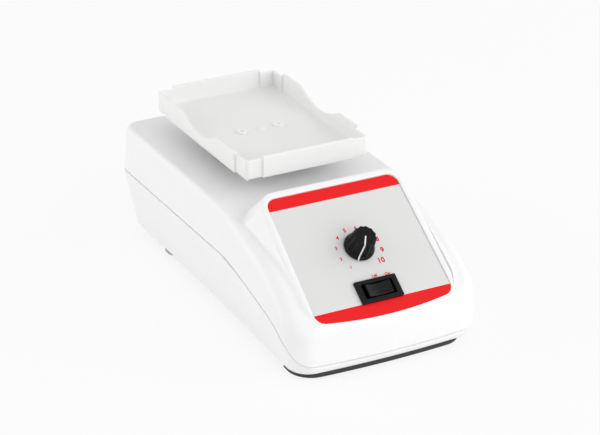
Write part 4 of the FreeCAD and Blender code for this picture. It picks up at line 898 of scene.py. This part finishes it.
# Upper housing
@dataclass
class UpperHousing:
    """White top shell: deck, sloping console with a rim round its label, and a rolled front lip."""

    shape: HousingShape
    finish: Moulded
    wall_t: float = 2.5
    rim_w: float = 4.8
    rim_h: float = 0.9
    lip_w: float = 0.9
    label_gap: float = 0.25
    recess: float = 0.5
    flank: float = 18.0
    side_fall: float = 1.55
    rear_fall: float = 0.98
    block_half: float = 50.5
    crease: float = 2.6
    side_crease: float = 5.0
    curl: float = 1.6
    seam_gap: float = 0.8
    axis_y: float = 47.6
    opening_r: float = 22.5
    collar_t: float = 2.0
    collar_z: float = 80.2
    collar_foot: float = 76.7
    opening_z: tuple[float, float] = (70.0, 90.0)
    hollow_drop: float = 8.0

    def bead(self) -> list[Array]:
        """Rings of the rim: up from the label's recess, over a round bead and down to the flank.

        Across the rim's width the height is h * sin(pi * t ** 0.8) ** 0.7, with t from nought to one and
        the places crowded to both edges by a cosine. Along the label's foot it dies away into the lip.

        Returns:
            The rings.
        """
        foot = self.shape.foot_share()
        width = self.rim_w * (1.0 - foot) + self.lip_w * foot
        height = self.rim_h * (1.0 - foot) + 0.06 * foot
        inner = self.shape.grown(np.full(len(foot), self.label_gap))
        rings = [self.shape.panel.on(inner, -self.recess)]
        for t in np.linspace(0.0, 1.0, 12):
            part = (1.0 - math.cos(math.pi * t)) / 2.0
            lift = height * max(math.sin(math.pi * t ** 0.8), 0.0) ** 0.7
            loop = self.shape.grown(self.label_gap + (width - self.label_gap) * part)
            rings.append(self.shape.panel.on(loop, lift))
        return rings

    def skin(self, inset: float, end_drop: float) -> Array:
        """All rings from the panel down to the seam.

        The flank runs straight in plan from the rim to the shoulder. The shoulder is a rational
        quadratic curve from the roof to the wall round the sharp corner, and the wall is ruled to the seam.

        Args:
            inset: nought for the outside, or the wall's thickness for the hollow.
            end_drop: how far below the seam's upper edge the last ring lies.

        Returns:
            Rings by points by 3.
        """
        shape = self.shape
        foot = shape.foot_share()
        if inset:
            width = (self.rim_w - 1.4) * (1.0 - foot) - (inset + 1.5) * foot
            rings = [shape.panel.on(shape.grown(width), -self.recess - inset)]
        else:
            rings = self.bead()
        rim = rings[-1]
        corner, normal = shape.shoulder()
        corner = corner - np.column_stack([normal * inset, np.full(len(normal), inset)])
        radius = np.maximum(shape.roll(corner[:, 1]) - inset, 1.0)
        room = np.sum((corner[:, :2] - rim[:, :2]) * normal, 1)
        step = np.minimum(radius, 0.85 * np.maximum(room, 0.4))
        edge = corner[:, :2] - normal * step[:, None]
        run = edge - rim[:, :2]
        far = np.linalg.norm(run, axis=1)
        reach = np.minimum(0.85 * far, self.flank)
        for share in np.linspace(0.0, 1.0, 19)[1:]:
            rings.append(self.flank_ring(rim, run / far[:, None], reach * share, share, inset))
        for share in np.linspace(0.0, 1.0, 9)[1:]:
            rings.append(self.flank_ring(rim, run / far[:, None], reach + (far - reach) * share, 1.0, inset))
        start = rings[-1]
        below = corner[:, 2] - radius
        flat = shape.wall(below)[:, :2] - normal * inset
        end = np.column_stack([flat, below])
        weight = math.sqrt(0.5)
        for t in np.linspace(0.0, 1.0, 11)[1:]:
            a, b, c = (1.0 - t) ** 2, 2.0 * weight * t * (1.0 - t), t ** 2
            rings.append((a * start + b * corner + c * end) / (a + b + c))
        low = shape.seam_height() + self.seam_gap - end_drop
        for t in np.linspace(0.0, 1.0, 12)[1:]:
            z = below + (low - below) * t
            flat = shape.wall(z)[:, :2] - normal * inset
            rings.append(np.column_stack([flat, z]))
        return np.stack(rings)

    def flank_ring(self, rim: Array, way: Array, gone: Array, share: float, inset: float) -> Array:
        """Ring at a distance from the rim towards the shoulder.

        Beside and behind the label the console is a block with plane faces: its height is the rim's less
        ((side_fall * dx) ** 4 + (rear_fall * dy) ** 4) ** 0.25 and less the panel's own fall. Where it meets
        the roof the two are joined by (a + b + sqrt((a - b) ** 2 + w ** 2)) / 2. Along the label's foot the
        lip runs out to the roof as (1 - share) ** curl.

        Args:
            rim: the ring at the rim.
            way: unit vectors in plan from the rim to the shoulder.
            gone: distance of each point from the rim.
            share: part of the flank that lies behind, from nought to one.
            inset: nought for the outside, or the wall's thickness for the hollow.

        Returns:
            The ring.
        """
        flat = rim[:, :2] + way * gone[:, None]
        roof = self.shape.roof(flat[:, 1]) - inset
        out = np.maximum(np.abs(flat[:, 0]) - np.maximum(np.abs(rim[:, 0]), self.block_half), 0.0)
        back = flat[:, 1] - rim[:, 1]
        slope = math.tan(math.radians(self.shape.panel.tilt))
        fall = ((self.side_fall * out) ** 4 + (self.rear_fall * np.maximum(back, 0.0)) ** 4) ** 0.25
        block = rim[:, 2] - fall - slope * np.maximum(-back, 0.0)
        soft = self.crease + (self.side_crease - self.crease) * ease(-50.0, -66.0, rim[:, 1])
        joined = (roof + block + np.sqrt((roof - block) ** 2 + soft ** 2)) / 2.0
        joined = joined - soft ** 2 / 4.0 / np.maximum(np.abs(roof - block), soft) * share
        lip = roof + (rim[:, 2] - (self.shape.roof(rim[:, 1]) - inset)) * (1.0 - share) ** self.curl
        foot = self.shape.foot_share()
        return np.column_stack([flat, foot * lip + (1.0 - foot) * joined])

    def cutters(self) -> list[Object]:
        """Solids taken out of the shell: its hollow, the drive's opening, and the holes in the panel.

        Returns:
            The solids.
        """
        flat = turned((0.0, self.axis_y), self.opening_r, around(96))
        rings = [np.column_stack([flat, np.full(len(flat), z)]) for z in self.opening_z]
        return [lofted("hollow", self.skin(self.wall_t, self.hollow_drop)[:, ::-1]),
                lofted("drive_opening", np.stack(rings)), *self.shape.panel_holes()]

    def build(self) -> list[Object]:
        """Make the shell and the collar round the drive's opening.

        Returns:
            The pieces.
        """
        shell = carved(lofted("upper_shell", self.skin(0.0, 0.0)[:, ::-1]), self.cutters(), 38.0)
        r0, r1, low, top = self.opening_r, self.opening_r + self.collar_t, self.collar_foot, self.collar_z
        profile = np.array([(r0, low), (r1, low), (r1, top - 0.3), (r1 - 0.3, top), (r0 + 0.3, top),
                            (r0, top - 0.3)])
        collar = lathed("deck_collar", profile, (0.0, self.axis_y))
        return [placed(shell, self.finish.build(), Body.HOUSING, "upper_housing"),
                placed(collar, self.finish.build(), Body.HOUSING)]


def lathed(name: str, profile: Array, centre: tuple[float, float], count: int = 96) -> Object:
    """Turn a closed profile of radius and height about an upright axis.

    Args:
        name: the piece's name.
        profile: corners of the section, counter-clockwise with the radius to the right.
        centre: x and y of the axis.
        count: steps round.

    Returns:
        The object, with its sharp edges marked.
    """
    flat = turned(centre, profile[:, 0][None], around(count)[:, None])
    rings = np.concatenate([flat, np.broadcast_to(profile[:, 1, None], (*flat.shape[:2], 1))], -1)
    made = mesh_object(name, rings.reshape(-1, 3), ring_faces(count, len(profile), True)[:, ::-1].tolist())
    made.data.set_sharp_from_angle(angle=math.radians(35.0))
    return made


# Label and its print
@dataclass
class PanelLabel:
    """Printed film of the panel with its dial, numbers and switch words."""

    shape: HousingShape
    film: PrintedLabel
    ink: Moulded
    thick: float = 0.5
    bevel: float = 0.12
    dial_s: float = 47.9
    dial_r: float = 15.6
    first_angle: float = 45.0
    angle_step: float = 30.0
    first_cap: float = 2.0
    last_cap: float = 3.6
    word_cap: float = 2.0
    cap_share: float = 0.70
    weight: float = 0.036
    relief: float = 0.025

    def sheet(self) -> Object:
        """Closed sheet with a softened upper edge.

        Returns:
            The sheet.
        """
        rings = []
        for grow, n in ((0.0, -self.thick), (0.0, -self.bevel), (-self.bevel, 0.0)):
            rings.append(self.shape.panel.on(self.shape.label_loop(grow), n))
        piece = carved(lofted("panel_film", np.stack(rings)), self.shape.panel_holes(), 30.0)
        return placed(piece, self.film.build(), Body.HOUSING, "panel_label")

    def word(self, name: str, text: str, x: float, s: float, cap: float) -> Object:
        """Flat raised lettering, upright to someone in front of the panel.

        Args:
            name: the piece's name.
            text: what it says.
            x: place across the panel.
            s: place down the panel.
            cap: height of a capital, which is a share of the type's size.

        Returns:
            The lettering as a mesh.
        """
        curve = bpy.data.curves.new(name, "FONT")
        curve.body = text
        curve.align_x = "CENTER"
        curve.align_y = "CENTER"
        curve.size = cap / self.cap_share * MM
        curve.offset = self.weight * curve.size
        curve.extrude = self.relief * MM
        curve.resolution_u = 4
        source = bpy.data.objects.new(name + "_source", curve)
        bpy.context.scene.collection.objects.link(source)
        graph = bpy.context.evaluated_depsgraph_get()
        mesh = bpy.data.meshes.new_from_object(source.evaluated_get(graph))
        mesh.transform(self.shape.panel.matrix(x, -s, 0.015))
        mesh.name = name
        bpy.data.objects.remove(source)
        made = bpy.data.objects.new(name, mesh)
        bpy.context.scene.collection.objects.link(made)
        return made

    def build(self) -> list[Object]:
        """Make the film, the numbers round the dial and the words beside the switch.

        Returns:
            The pieces.
        """
        words = []
        for number in range(10):
            angle = math.radians(self.first_angle + self.angle_step * number)
            cap = self.first_cap + (self.last_cap - self.first_cap) * number / 9.0
            words.append((f"dial_{number + 1}", str(number + 1), -self.dial_r * math.sin(angle),
                          self.dial_s + self.dial_r * math.cos(angle), cap))
        row = self.shape.panel.switch_s
        words += [("word_off", "Off", 1.6, row - 9.8, self.word_cap),
                  ("word_on", "On", 11.0, row - 9.5, self.word_cap)]
        sheet, ink = self.sheet(), self.ink.build()
        return [sheet] + [placed(self.word(*word), ink, Body.HOUSING) for word in words]


# Tray
@dataclass
class MicroplateTray:
    """Moulded tray: thin walls with a round rim, stepped out between the corner posts, with two scoops."""

    finish: Moulded
    y: float = 45.8
    z: float = 92.4
    floor_t: float = 2.2
    wall_t: float = 2.0
    half_x: float = 45.24
    half_y: float = 66.38
    corner_r: float = 2.4
    step: float = 1.6
    panel_x: float = 33.5
    panel_y: float = 52.0
    post_h: float = 13.5
    panel_h: float = 15.3
    scoop_half: float = 29.0
    scoop_depth: float = 7.9
    nub_r: float = 1.0
    nub_h: float = 1.0
    bump: tuple[float, float] = (36.0, 32.0)

    def side(self, half: float, panel: float) -> tuple[Array, Array]:
        """Places along one side, crowded where the wall steps.

        Args:
            half: half the side's length.
            panel: where the wall steps, from the middle.

        Returns:
            The places, and how far out each one is, from 0 to 1.
        """
        end = half - self.corner_r
        steps = panel + np.linspace(-0.45, 0.45, 9)
        t = np.unique(np.concatenate([np.linspace(-end, end, 110), steps, -steps]))
        return t, ease(panel + 0.3, panel - 0.3, np.abs(t))

    def outline(self) -> tuple[Array, Array, Array, Array]:
        """Plan of the corner posts with its normals, the step's share and the rim's height at each point.

        Returns:
            The plan, the normals, the shares and the heights.
        """
        rise = natural_spline(((-1.0, 1.0), (-0.845, 0.86), (-0.66, 0.55), (-0.36, 0.17), (0.0, 0.0),
                               (0.36, 0.17), (0.66, 0.55), (0.845, 0.86), (1.0, 1.0)))
        long_t, long_m = self.side(self.half_y, self.panel_y)
        short_t, short_m = self.side(self.half_x, self.panel_x)
        dip = self.scoop_depth * (1.0 - rise(long_t / self.scoop_half))
        long_h = self.post_h + (self.panel_h - self.post_h) * long_m - dip
        short_h = self.post_h + (self.panel_h - self.post_h) * short_m
        points, normals, shares, heights = [], [], [], []
        half = np.array((self.half_x, self.half_y))
        for turn in range(4):
            along, share, height = ((long_t, long_m, long_h), (short_t, short_m, short_h))[turn % 2]
            out = np.array(((1.0, 0.0), (0.0, 1.0), (-1.0, 0.0), (0.0, -1.0))[turn])
            run = np.array((-out[1], out[0]))
            a = np.radians(90.0 * turn + np.linspace(0.0, 90.0, 10)[1:-1])
            radial = np.stack([np.cos(a), np.sin(a)], -1)
            centre = (out + run) * (half - self.corner_r)
            points += [out * half + run * along[:, None], centre + self.corner_r * radial]
            normals += [np.broadcast_to(out, (len(along), 2)), radial]
            shares += [share, np.zeros(len(a))]
            heights += [height, np.full(len(a), self.post_h)]
        return np.vstack(points), np.vstack(normals), np.concatenate(shares), np.concatenate(heights)

    def shell(self) -> Object:
        """Closed skin: under the floor, up the outside, over the rim, down the inside and over the floor.

        Returns:
            The shell.
        """
        base, normal, share, height = self.outline()
        half = self.wall_t / 2
        floor = self.floor_t
        path = [(6.0, 0.0), (0.9, 0.0), (0.25, 0.22), (0.0, 0.9)]
        path += [(0.0, 0.9 + (height - half - 0.9) * t) for t in (0.35, 0.7, 1.0)]
        for a in np.radians(np.linspace(0.0, 180.0, 11)[1:]):
            path.append((half * (1.0 - math.cos(a)), height - half + half * math.sin(a)))
        path += [(self.wall_t, floor + 1.0 + (height - half - floor - 1.0) * t) for t in (0.66, 0.33, 0.0)]
        path += [(self.wall_t + 0.3, floor + 0.3), (self.wall_t + 1.2, floor), (7.0, floor)]
        rings = []
        for inset, z in path:
            if inset < self.corner_r:
                flat = base + normal * (self.step * share - inset)[:, None]
            else:
                flat = base * (1.0 - inset / np.array((self.half_x, self.half_y)))
            rings.append(np.column_stack([flat + (0.0, self.y), np.broadcast_to(self.z + z, len(base))]))
        return lofted("tray_shell", np.stack(rings), 60.0)

    def puck(self, name: str, x: float, y: float, profile: Sequence[tuple[float, float]]) -> Object:
        """Small round boss: circles of the profile's radii, skinned.

        Args:
            name: the piece's name.
            x: its middle, across.
            y: its middle, from the tray's.
            profile: radius and height, lowest first.

        Returns:
            The boss.
        """
        rings = [np.column_stack([turned((x, y + self.y), r, around(28)), np.full(28, z)])
                 for r, z in profile]
        return lofted(name, np.stack(rings))

    def build(self) -> list[Object]:
        """Make the tray, the nubs under its corners and the small dome on its floor.

        Returns:
            The pieces.
        """
        material = self.finish.build()
        made = [placed(self.shell(), material, Body.TRAY, "microplate_tray")]
        nub = [(self.nub_r * wide, self.z - self.nub_h * deep)
               for wide, deep in ((0.55, 1.0), (0.9, 0.85), (1.0, 0.5), (1.0, -0.5))]
        for number, (sx, sy) in enumerate(((1, 1), (-1, 1), (-1, -1), (1, -1))):
            piece = self.puck(f"tray_nub_{number}", sx * (self.half_x - 2.0), sy * (self.half_y - 2.0), nub)
            made.append(placed(piece, material, Body.TRAY))
        top = self.z + self.floor_t
        dome = [(1.7, top - 0.5), (1.6, top + 0.05), (1.3, top + 0.3), (0.8, top + 0.46), (0.3, top + 0.52)]
        return made + [placed(self.puck("tray_dome", *self.bump, dome), material, Body.TRAY)]


# Switch
@dataclass
class RockerSwitch:
    """Glossy three-position rocker: a bezel with soft edges, its body below and a dished paddle."""

    panel: Panel
    finish: Moulded
    half: tuple[float, float] = (15.0, 8.0)
    body: tuple[float, float] = (13.2, 6.2)
    mouth: tuple[float, float] = (11.2, 5.2)
    top: float = 2.0
    edge: float = 0.5
    floor: float = -12.0
    bottom: float = -18.0
    paddle: tuple[float, float] = (8.8, 4.4)
    heel: tuple[float, float] = (3.0, -7.0)
    tip: float = 3.0
    middle: float = 1.4

    def ring(self, half_x: float, half_y: float, r: float, n: float) -> Array:
        """One level loop in the panel's own height."""
        return self.panel.on(round_box(half_x, half_y, r) - (0.0, self.panel.switch_s), n)

    def bezel(self) -> Object:
        """Body through the panel, flange with a rolled edge, mouth with a small chamfer, and its hollow.

        Returns:
            The body.
        """
        (hx, hy), (mx, my), (bx, by) = self.half, self.mouth, self.body
        rings = [self.ring(bx, by, 0.4, self.bottom), self.ring(bx, by, 0.4, 0.02),
                 self.ring(hx, hy, 0.7, 0.02)]
        for a in np.radians((0.0, 22.5, 45.0, 67.5, 90.0)):
            back = self.edge * (1.0 - math.cos(a))
            rings.append(self.ring(hx - back, hy - back, 0.7, self.top - self.edge * (1.0 - math.sin(a))))
        rings += [self.ring(mx + 0.3, my + 0.3, 0.7, self.top), self.ring(mx, my, 0.6, self.top - 0.3),
                  self.ring(mx, my, 0.6, self.floor)]
        return lofted("switch_bezel", np.stack(rings), 40.0)

    def rocker(self) -> Object:
        """Paddle whose face is dished: its height is middle + (tip - middle) * (x / half) ** 2.

        Returns:
            The paddle.
        """
        px, py = self.paddle
        rings = [self.ring(self.heel[0], py, 0.3, self.heel[1]), self.ring(px, py, 0.3, 0.0)]
        edge = ((0.0, 0.5), (0.06, 0.27), (0.2, 0.08), (0.45, 0.0), (1.2, 0.0), (2.2, 0.0), (3.3, 0.0))
        for inset, drop in edge:
            loop = round_box(px - inset, py - inset, max(0.3 - 0.5 * inset, 0.1))
            n = self.middle + (self.tip - self.middle) * (loop[:, 0] / px) ** 2 - drop
            rings.append(self.panel.on(loop - (0.0, self.panel.switch_s), n))
        return lofted("switch_paddle", np.stack(rings), 50.0)

    def build(self) -> list[Object]:
        """Make the body on the housing and the paddle on the rocker.

        Returns:
            The pieces.
        """
        material = self.finish.build()
        return [placed(self.bezel(), material, Body.HOUSING, "switch_body"),
                placed(self.rocker(), material, Body.ROCKER, "rocker_paddle")]


# Knob
@dataclass
class SpeedKnob:
    """Black knob: a round skirt, a tapering body with deep scallops, a domed cap and a white pointer line."""

    panel: Panel
    finish: Moulded
    paint: Moulded
    low: float = 0.8
    top: float = 14.9
    skirt_r: float = 10.3
    skirt_h: float = 3.0
    cap_r: float = 7.8
    foot_r: float = 9.3
    flutes: int = 12
    scallop: float = 1.15
    rest: float = 28.0
    line_w: float = 0.9

    def profile(self) -> Array:
        """Radius, height and scallop share of each ring, from the underside to the cap's middle.

        Returns:
            One row for each ring.
        """
        skirt = [(r, self.low + rise, share) for r, rise, share in (
            (7.0, 0.0, 0.0), (9.9, 0.0, 0.0), (self.skirt_r, 0.35, 0.0), (self.skirt_r, 1.1, 0.0),
            (10.2, 1.5, 0.05), (9.9, 1.9, 0.25))]
        body, cap = [], []
        foot, crown = self.low + self.skirt_h - 0.6, self.top - 1.0
        for t in np.linspace(0.0, 1.0, 14):
            radius = self.foot_r + (self.cap_r - self.foot_r) * t
            body.append((radius, foot + (crown - foot) * t, min(1.0, 0.55 + 2.2 * t)))
        for a in np.radians((15.0, 30.0, 50.0, 70.0, 90.0)):
            rise = math.sin(a)
            cap.append((self.cap_r - 0.9 * (1.0 - math.cos(a)), crown + 0.8 * rise, 1.0 - 0.75 * rise))
        cap += [(r, self.top - 0.2 + 0.2 * (1.0 - (r / 6.9) ** 2), 0.0) for r in (6.5, 5.0, 3.0, 1.2)]
        return np.array(skirt + body + cap)

    def heading(self) -> float:
        """Angle of the pointer in the panel's plane, in radians."""
        return math.radians(-90.0 - self.rest)

    def body(self) -> Object:
        """Fluted surface. The radius at an angle a is r - depth * share * (0.5 - 0.5 cos(n a)) ** 0.6.

        Returns:
            The knob's body.
        """
        profile = self.profile()
        angles = around(self.flutes * 20)
        wave = (0.5 - 0.5 * np.cos(self.flutes * (angles - self.heading()))) ** 0.6
        radius = profile[:, 0][:, None] - self.scallop * profile[:, 2][:, None] * wave[None]
        flat = turned((0.0, -self.panel.knob_s), radius, angles)
        height = np.broadcast_to(profile[:, 1][:, None], radius.shape)
        return lofted("speed_knob_body", self.panel.on(flat, height), 50.0)

    def line(self) -> Object:
        """Pointer: a narrow raised band from the cap's middle over its edge and down to the skirt.

        Returns:
            The line.
        """
        top = self.top
        path = np.array([(0.3, top), (3.5, top - 0.02), (6.2, top - 0.14), (7.2, top - 0.35),
                         (7.72, top - 0.75), (7.9, top - 1.4), (8.55, 8.2), (9.15, 4.4), (9.45, 3.0),
                         (9.95, 2.72), (10.3, 2.35), (10.37, 1.6), (10.36, 1.2)])
        lead = np.gradient(path, axis=0)
        lead /= np.linalg.norm(lead, axis=1, keepdims=True)
        up = np.stack([-lead[:, 1], lead[:, 0]], -1)
        c, k = math.cos(self.heading()), math.sin(self.heading())
        rings = []
        section = ((-0.5, -0.25), (-0.5, 0.05), (-0.38, 0.09), (0.38, 0.09), (0.5, 0.05), (0.5, -0.25))
        for side, lift in section:
            spot = path + up * lift
            across = self.line_w * side
            rings.append(self.panel.at(spot[:, 0] * c - across * k,
                                       spot[:, 0] * k + across * c - self.panel.knob_s, spot[:, 1]))
        return lofted("knob_line", np.stack(rings, 1), 40.0)

    def build(self) -> list[Object]:
        """Make the knob and its line.

        Returns:
            The pieces.
        """
        return [placed(self.body(), self.finish.build(), Body.KNOB, "speed_knob"),
                placed(self.line(), self.paint.build(), Body.KNOB, "knob_pointer")]


# Springs
@dataclass
class CradleSprings:
    """Four coil springs on the guide posts. The real ones close up when the tray is pressed; these are made
    at rest.
    """

    frame: dict
    finish: Metal
    axis_y: float = 47.6
    post: float = 32.0
    radius: float = 4.9
    wire: float = 0.7
    turns: int = 6
    stroke: float = 1.2

    def coil(self, name: str, x: float, y: float, low: float, high: float) -> Object:
        """Round wire swept along a helix, its ends closed.

        Args:
            name: the piece's name.
            x: the axis across.
            y: the axis along.
            low: height of the wire's start.
            high: height of its end.

        Returns:
            The spring.
        """
        a = np.linspace(0.0, 2.0 * math.pi * self.turns, 28 * self.turns + 1)[:, None]
        b = around(10)[None, :]
        r = self.radius + self.wire * np.cos(b)
        z = low + (high - low) * a / a[-1] + self.wire * np.sin(b)
        rings = np.stack([x + r * np.cos(a), y + r * np.sin(a), z], -1)
        return lofted(name, rings[:, ::-1])

    def build(self) -> list[Object]:
        """Make the springs between the heights of the model's own, standing on the ballast plate.

        Returns:
            The pieces.
        """
        heights = [corner[2] / MM for corner in self.frame["nodes"]["cradle_springs"].bound_box]
        low, high = min(heights), max(heights)
        material = self.finish.build()
        made = []
        for number, (sx, sy) in enumerate(((1, 1), (1, -1), (-1, 1), (-1, -1))):
            x, y = sx * self.post, self.axis_y + sy * self.post
            spring = self.coil(f"cradle_spring_{number}", x, y, low + self.wire, high - self.wire)
            placed(spring, material, Body.HOUSING, None if number else "cradle_springs")
            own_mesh(spring)
            made.append(spring)
        return made

# Parts that keep the model's own solids
@dataclass
class ModelParts:
    """Every piece that keeps the model's solid, welded, smoothed and given its finish by its slot."""

    frame: dict
    finishes: dict[str, Finish]
    special: dict[str, Finish]
    split: float = 32.0

    def build(self) -> list[Object]:
        """Dress the nodes that no new piece stands for.

        Returns:
            The pieces.
        """
        slots = {part["node"]: part["material_slot"] for part in self.frame["record"]["subparts"]}
        made = {slot: finish.build() for slot, finish in self.finishes.items()}
        done = []
        for name, piece in sorted(self.frame["nodes"].items()):
            if name in REMADE:
                continue
            piece.data.materials.clear()
            own = self.special.get(name)
            piece.data.materials.append(own.build() if own else made[slots[name]])
            piece.data.shade_smooth()
            weld = piece.modifiers.new("weld", "WELD")
            weld.merge_threshold = 0.002 * MM
            edge = piece.modifiers.new("edges", "EDGE_SPLIT")
            edge.split_angle = math.radians(self.split)
            edge.use_edge_sharp = False
            even = piece.modifiers.new("even", "WEIGHTED_NORMAL")
            even.weight = 50
            even.keep_sharp = False
            done.append(piece)
        return done


# Stage
@dataclass
class Studio:
    """White sweep, soft lamps and the photograph's camera."""

    lens: float = 144.0
    eye: Place = (-0.6937, -1.2723, 0.7356)
    aim: Place = (-0.012024, -0.033, 0.064202)
    roll: float = 0.740
    daylight: float = 0.68
    floor_glow: float = 0.80

    def camera(self) -> None:
        """Camera turned a little about its own axis, as the photograph is."""
        forward = (Vector(self.aim) - Vector(self.eye)).normalized()
        right = forward.cross(Vector((0.0, 0.0, 1.0))).normalized()
        up = right.cross(forward)
        turn = math.radians(self.roll)
        across = right * math.cos(turn) + up * math.sin(turn)
        upward = up * math.cos(turn) - right * math.sin(turn)
        matrix = Matrix((across, upward, -forward)).transposed().to_4x4()
        matrix.translation = Vector(self.eye)
        data = bpy.data.cameras.new("camera")
        data.lens = self.lens
        data.sensor_width = 36.0
        data.clip_end = 50.0
        made = bpy.data.objects.new("camera", data)
        made.matrix_world = matrix
        bpy.context.scene.collection.objects.link(made)
        bpy.context.scene.camera = made

    def floor(self, half: float = 4000.0, z: float = -0.4) -> None:
        """Large level floor: white to the camera, with a faint shadow left in it.

        Args:
            half: half its width.
            z: its height, a little below the feet.
        """
        corner = [(x * half, y * half, z) for x, y in ((-1, -1), (1, -1), (1, 1), (-1, 1))]
        piece = mesh_object("floor", np.array(corner), [(0, 1, 2, 3)])
        net = Net(bpy.data.materials.new("floor_white"))
        net.set(Base_Color=(0.93, 0.93, 0.93), Roughness=0.9, Specular_IOR_Level=0.1)
        glow = net.node("ShaderNodeEmission", None, {"Color": PURE, "Strength": 1.0})
        mixed = net.between(net.seen() * self.floor_glow, net.shader.outputs[0], glow.outputs[0])
        net.put(net.tree.nodes["Material Output"].inputs["Surface"], mixed)
        piece.data.materials.append(net.owner)

    def lamp(self, name: str, place: Place, size: float, watts: float) -> None:
        """Soft square lamp aimed at the object.

        Args:
            name: the lamp's name.
            place: where it hangs, in metres.
            size: its side in metres.
            watts: its power.
        """
        data = bpy.data.lights.new(name, "AREA")
        data.size = size
        data.energy = watts
        made = bpy.data.objects.new(name, data)
        made.location = place
        made.rotation_euler = (Vector((0.0, 0.0, 0.05)) - Vector(place)).to_track_quat("-Z", "Y").to_euler()
        bpy.context.scene.collection.objects.link(made)

    def world(self) -> None:
        """White surroundings: full white to the camera, in gloss and through glass, and softer as light."""
        world = bpy.data.worlds.new("studio")
        bpy.context.scene.world = world
        net = Net(world)
        net.tree.nodes.clear()
        kind = "ShaderNodeBackground"
        light, white = (net.node(kind, None, {"Color": PURE, "Strength": strength}).outputs[0]
                        for strength in (self.daylight, 1.0))
        mixed = net.between(net.seen(), light, white)
        net.node("ShaderNodeOutputWorld", None, {"Surface": mixed})

    def build(self) -> None:
        """Set the stage."""
        self.camera()
        self.floor()
        self.world()
        self.lamp("key", (-2.0, 1.2, 0.55), 2.0, 22.0)
        self.lamp("front", (0.6, -2.2, 1.0), 2.0, 17.5)
        self.lamp("fill", (1.9, -0.9, 1.1), 1.6, 12.0)
        bpy.context.scene.view_settings.view_transform = "Standard"


LABEL_INK = Moulded("label_ink", (0.78, 0.012, 0.014), 0.5, 0.02, gloss=0.2)
FINISHES: dict[str, Finish] = {finish.name: finish for finish in (
    Moulded("housing_plastic", (0.90, 0.90, 0.905), 0.42, 0.05),
    Moulded("tray_plastic", (0.86, 0.86, 0.85), 0.38, 0.03),
    Moulded("knob_plastic", (0.005, 0.005, 0.006), 0.32, 0.05, gloss=0.13),
    Moulded("mark_paint", (0.82, 0.82, 0.82), 0.45, 0.03),
    Moulded("switch_plastic", (0.007, 0.006, 0.007), 0.24, 0.02, gloss=0.16),
    Moulded("foot_rubber", (0.035, 0.035, 0.037), 0.75, 0.15, sheen=0.1),
    Moulded("skirt_rubber", (0.03, 0.03, 0.03), 0.7, 0.12, sheen=0.1),
    Moulded("dark_plastic", (0.025, 0.025, 0.027), 0.5, 0.08),
    Moulded("bush_plastic", (0.72, 0.69, 0.60), 0.4, 0.04),
    Metal("ballast_steel", (0.10, 0.105, 0.11), 0.5, metallic=0.7),
    Metal("motor_steel", (0.30, 0.31, 0.33), 0.42),
    Metal("bright_steel", (0.62, 0.62, 0.63), 0.24),
    Metal("bare_aluminium", (0.74, 0.75, 0.76), 0.34),
    Metal("brass_contacts", (0.72, 0.52, 0.22), 0.3),
    Laminate("board_laminate", (0.02, 0.16, 0.06)),
    Moulded("lead_insulation", (0.30, 0.10, 0.04), 0.45, 0.05),
    ClearGlass("fuse_glass", (0.95, 0.97, 0.96)),
)}
SPECIAL: dict[str, Finish] = {
    "tray_screws": Metal("plated_screws", (0.90, 0.90, 0.89), 0.5, metallic=0.35),
    "rear_feet": Moulded("rear_foot_rubber", (0.42, 0.41, 0.40), 0.7, 0.12),
}
REMADE = ("upper_housing", "panel_label", "speed_knob", "knob_pointer", "microplate_tray", "switch_body",
          "rocker_paddle", "cradle_springs")
HEAD_BAND, FOOT_BAND = 8.8, 85.9


def main() -> None:
    """Load the model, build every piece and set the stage."""
    logging.basicConfig(level=logging.INFO, format="%(name)s: %(message)s")
    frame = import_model()
    shape = HousingShape()
    panel = shape.panel
    start = float(panel.at(0.0, 0.0, 0.0) @ np.array(panel.down()))
    film = PrintedLabel("label_film", (0.745, 0.745, 0.74), (0.835, 0.009, 0.011), panel.down(),
                        start + HEAD_BAND, start + FOOT_BAND)
    builders = (UpperHousing(shape, FINISHES["housing_plastic"]), PanelLabel(shape, film, LABEL_INK),
                SpeedKnob(panel, FINISHES["knob_plastic"], FINISHES["mark_paint"]),
                MicroplateTray(FINISHES["tray_plastic"]), RockerSwitch(panel, FINISHES["switch_plastic"]),
                CradleSprings(frame, FINISHES["bright_steel"]), ModelParts(frame, FINISHES, SPECIAL))
    for builder in builders:
        for piece in builder.build():
            LOG.info("%s: %d faces", piece.name, len(piece.data.polygons))
    Studio().build()


if __name__ == "__main__":
    main()
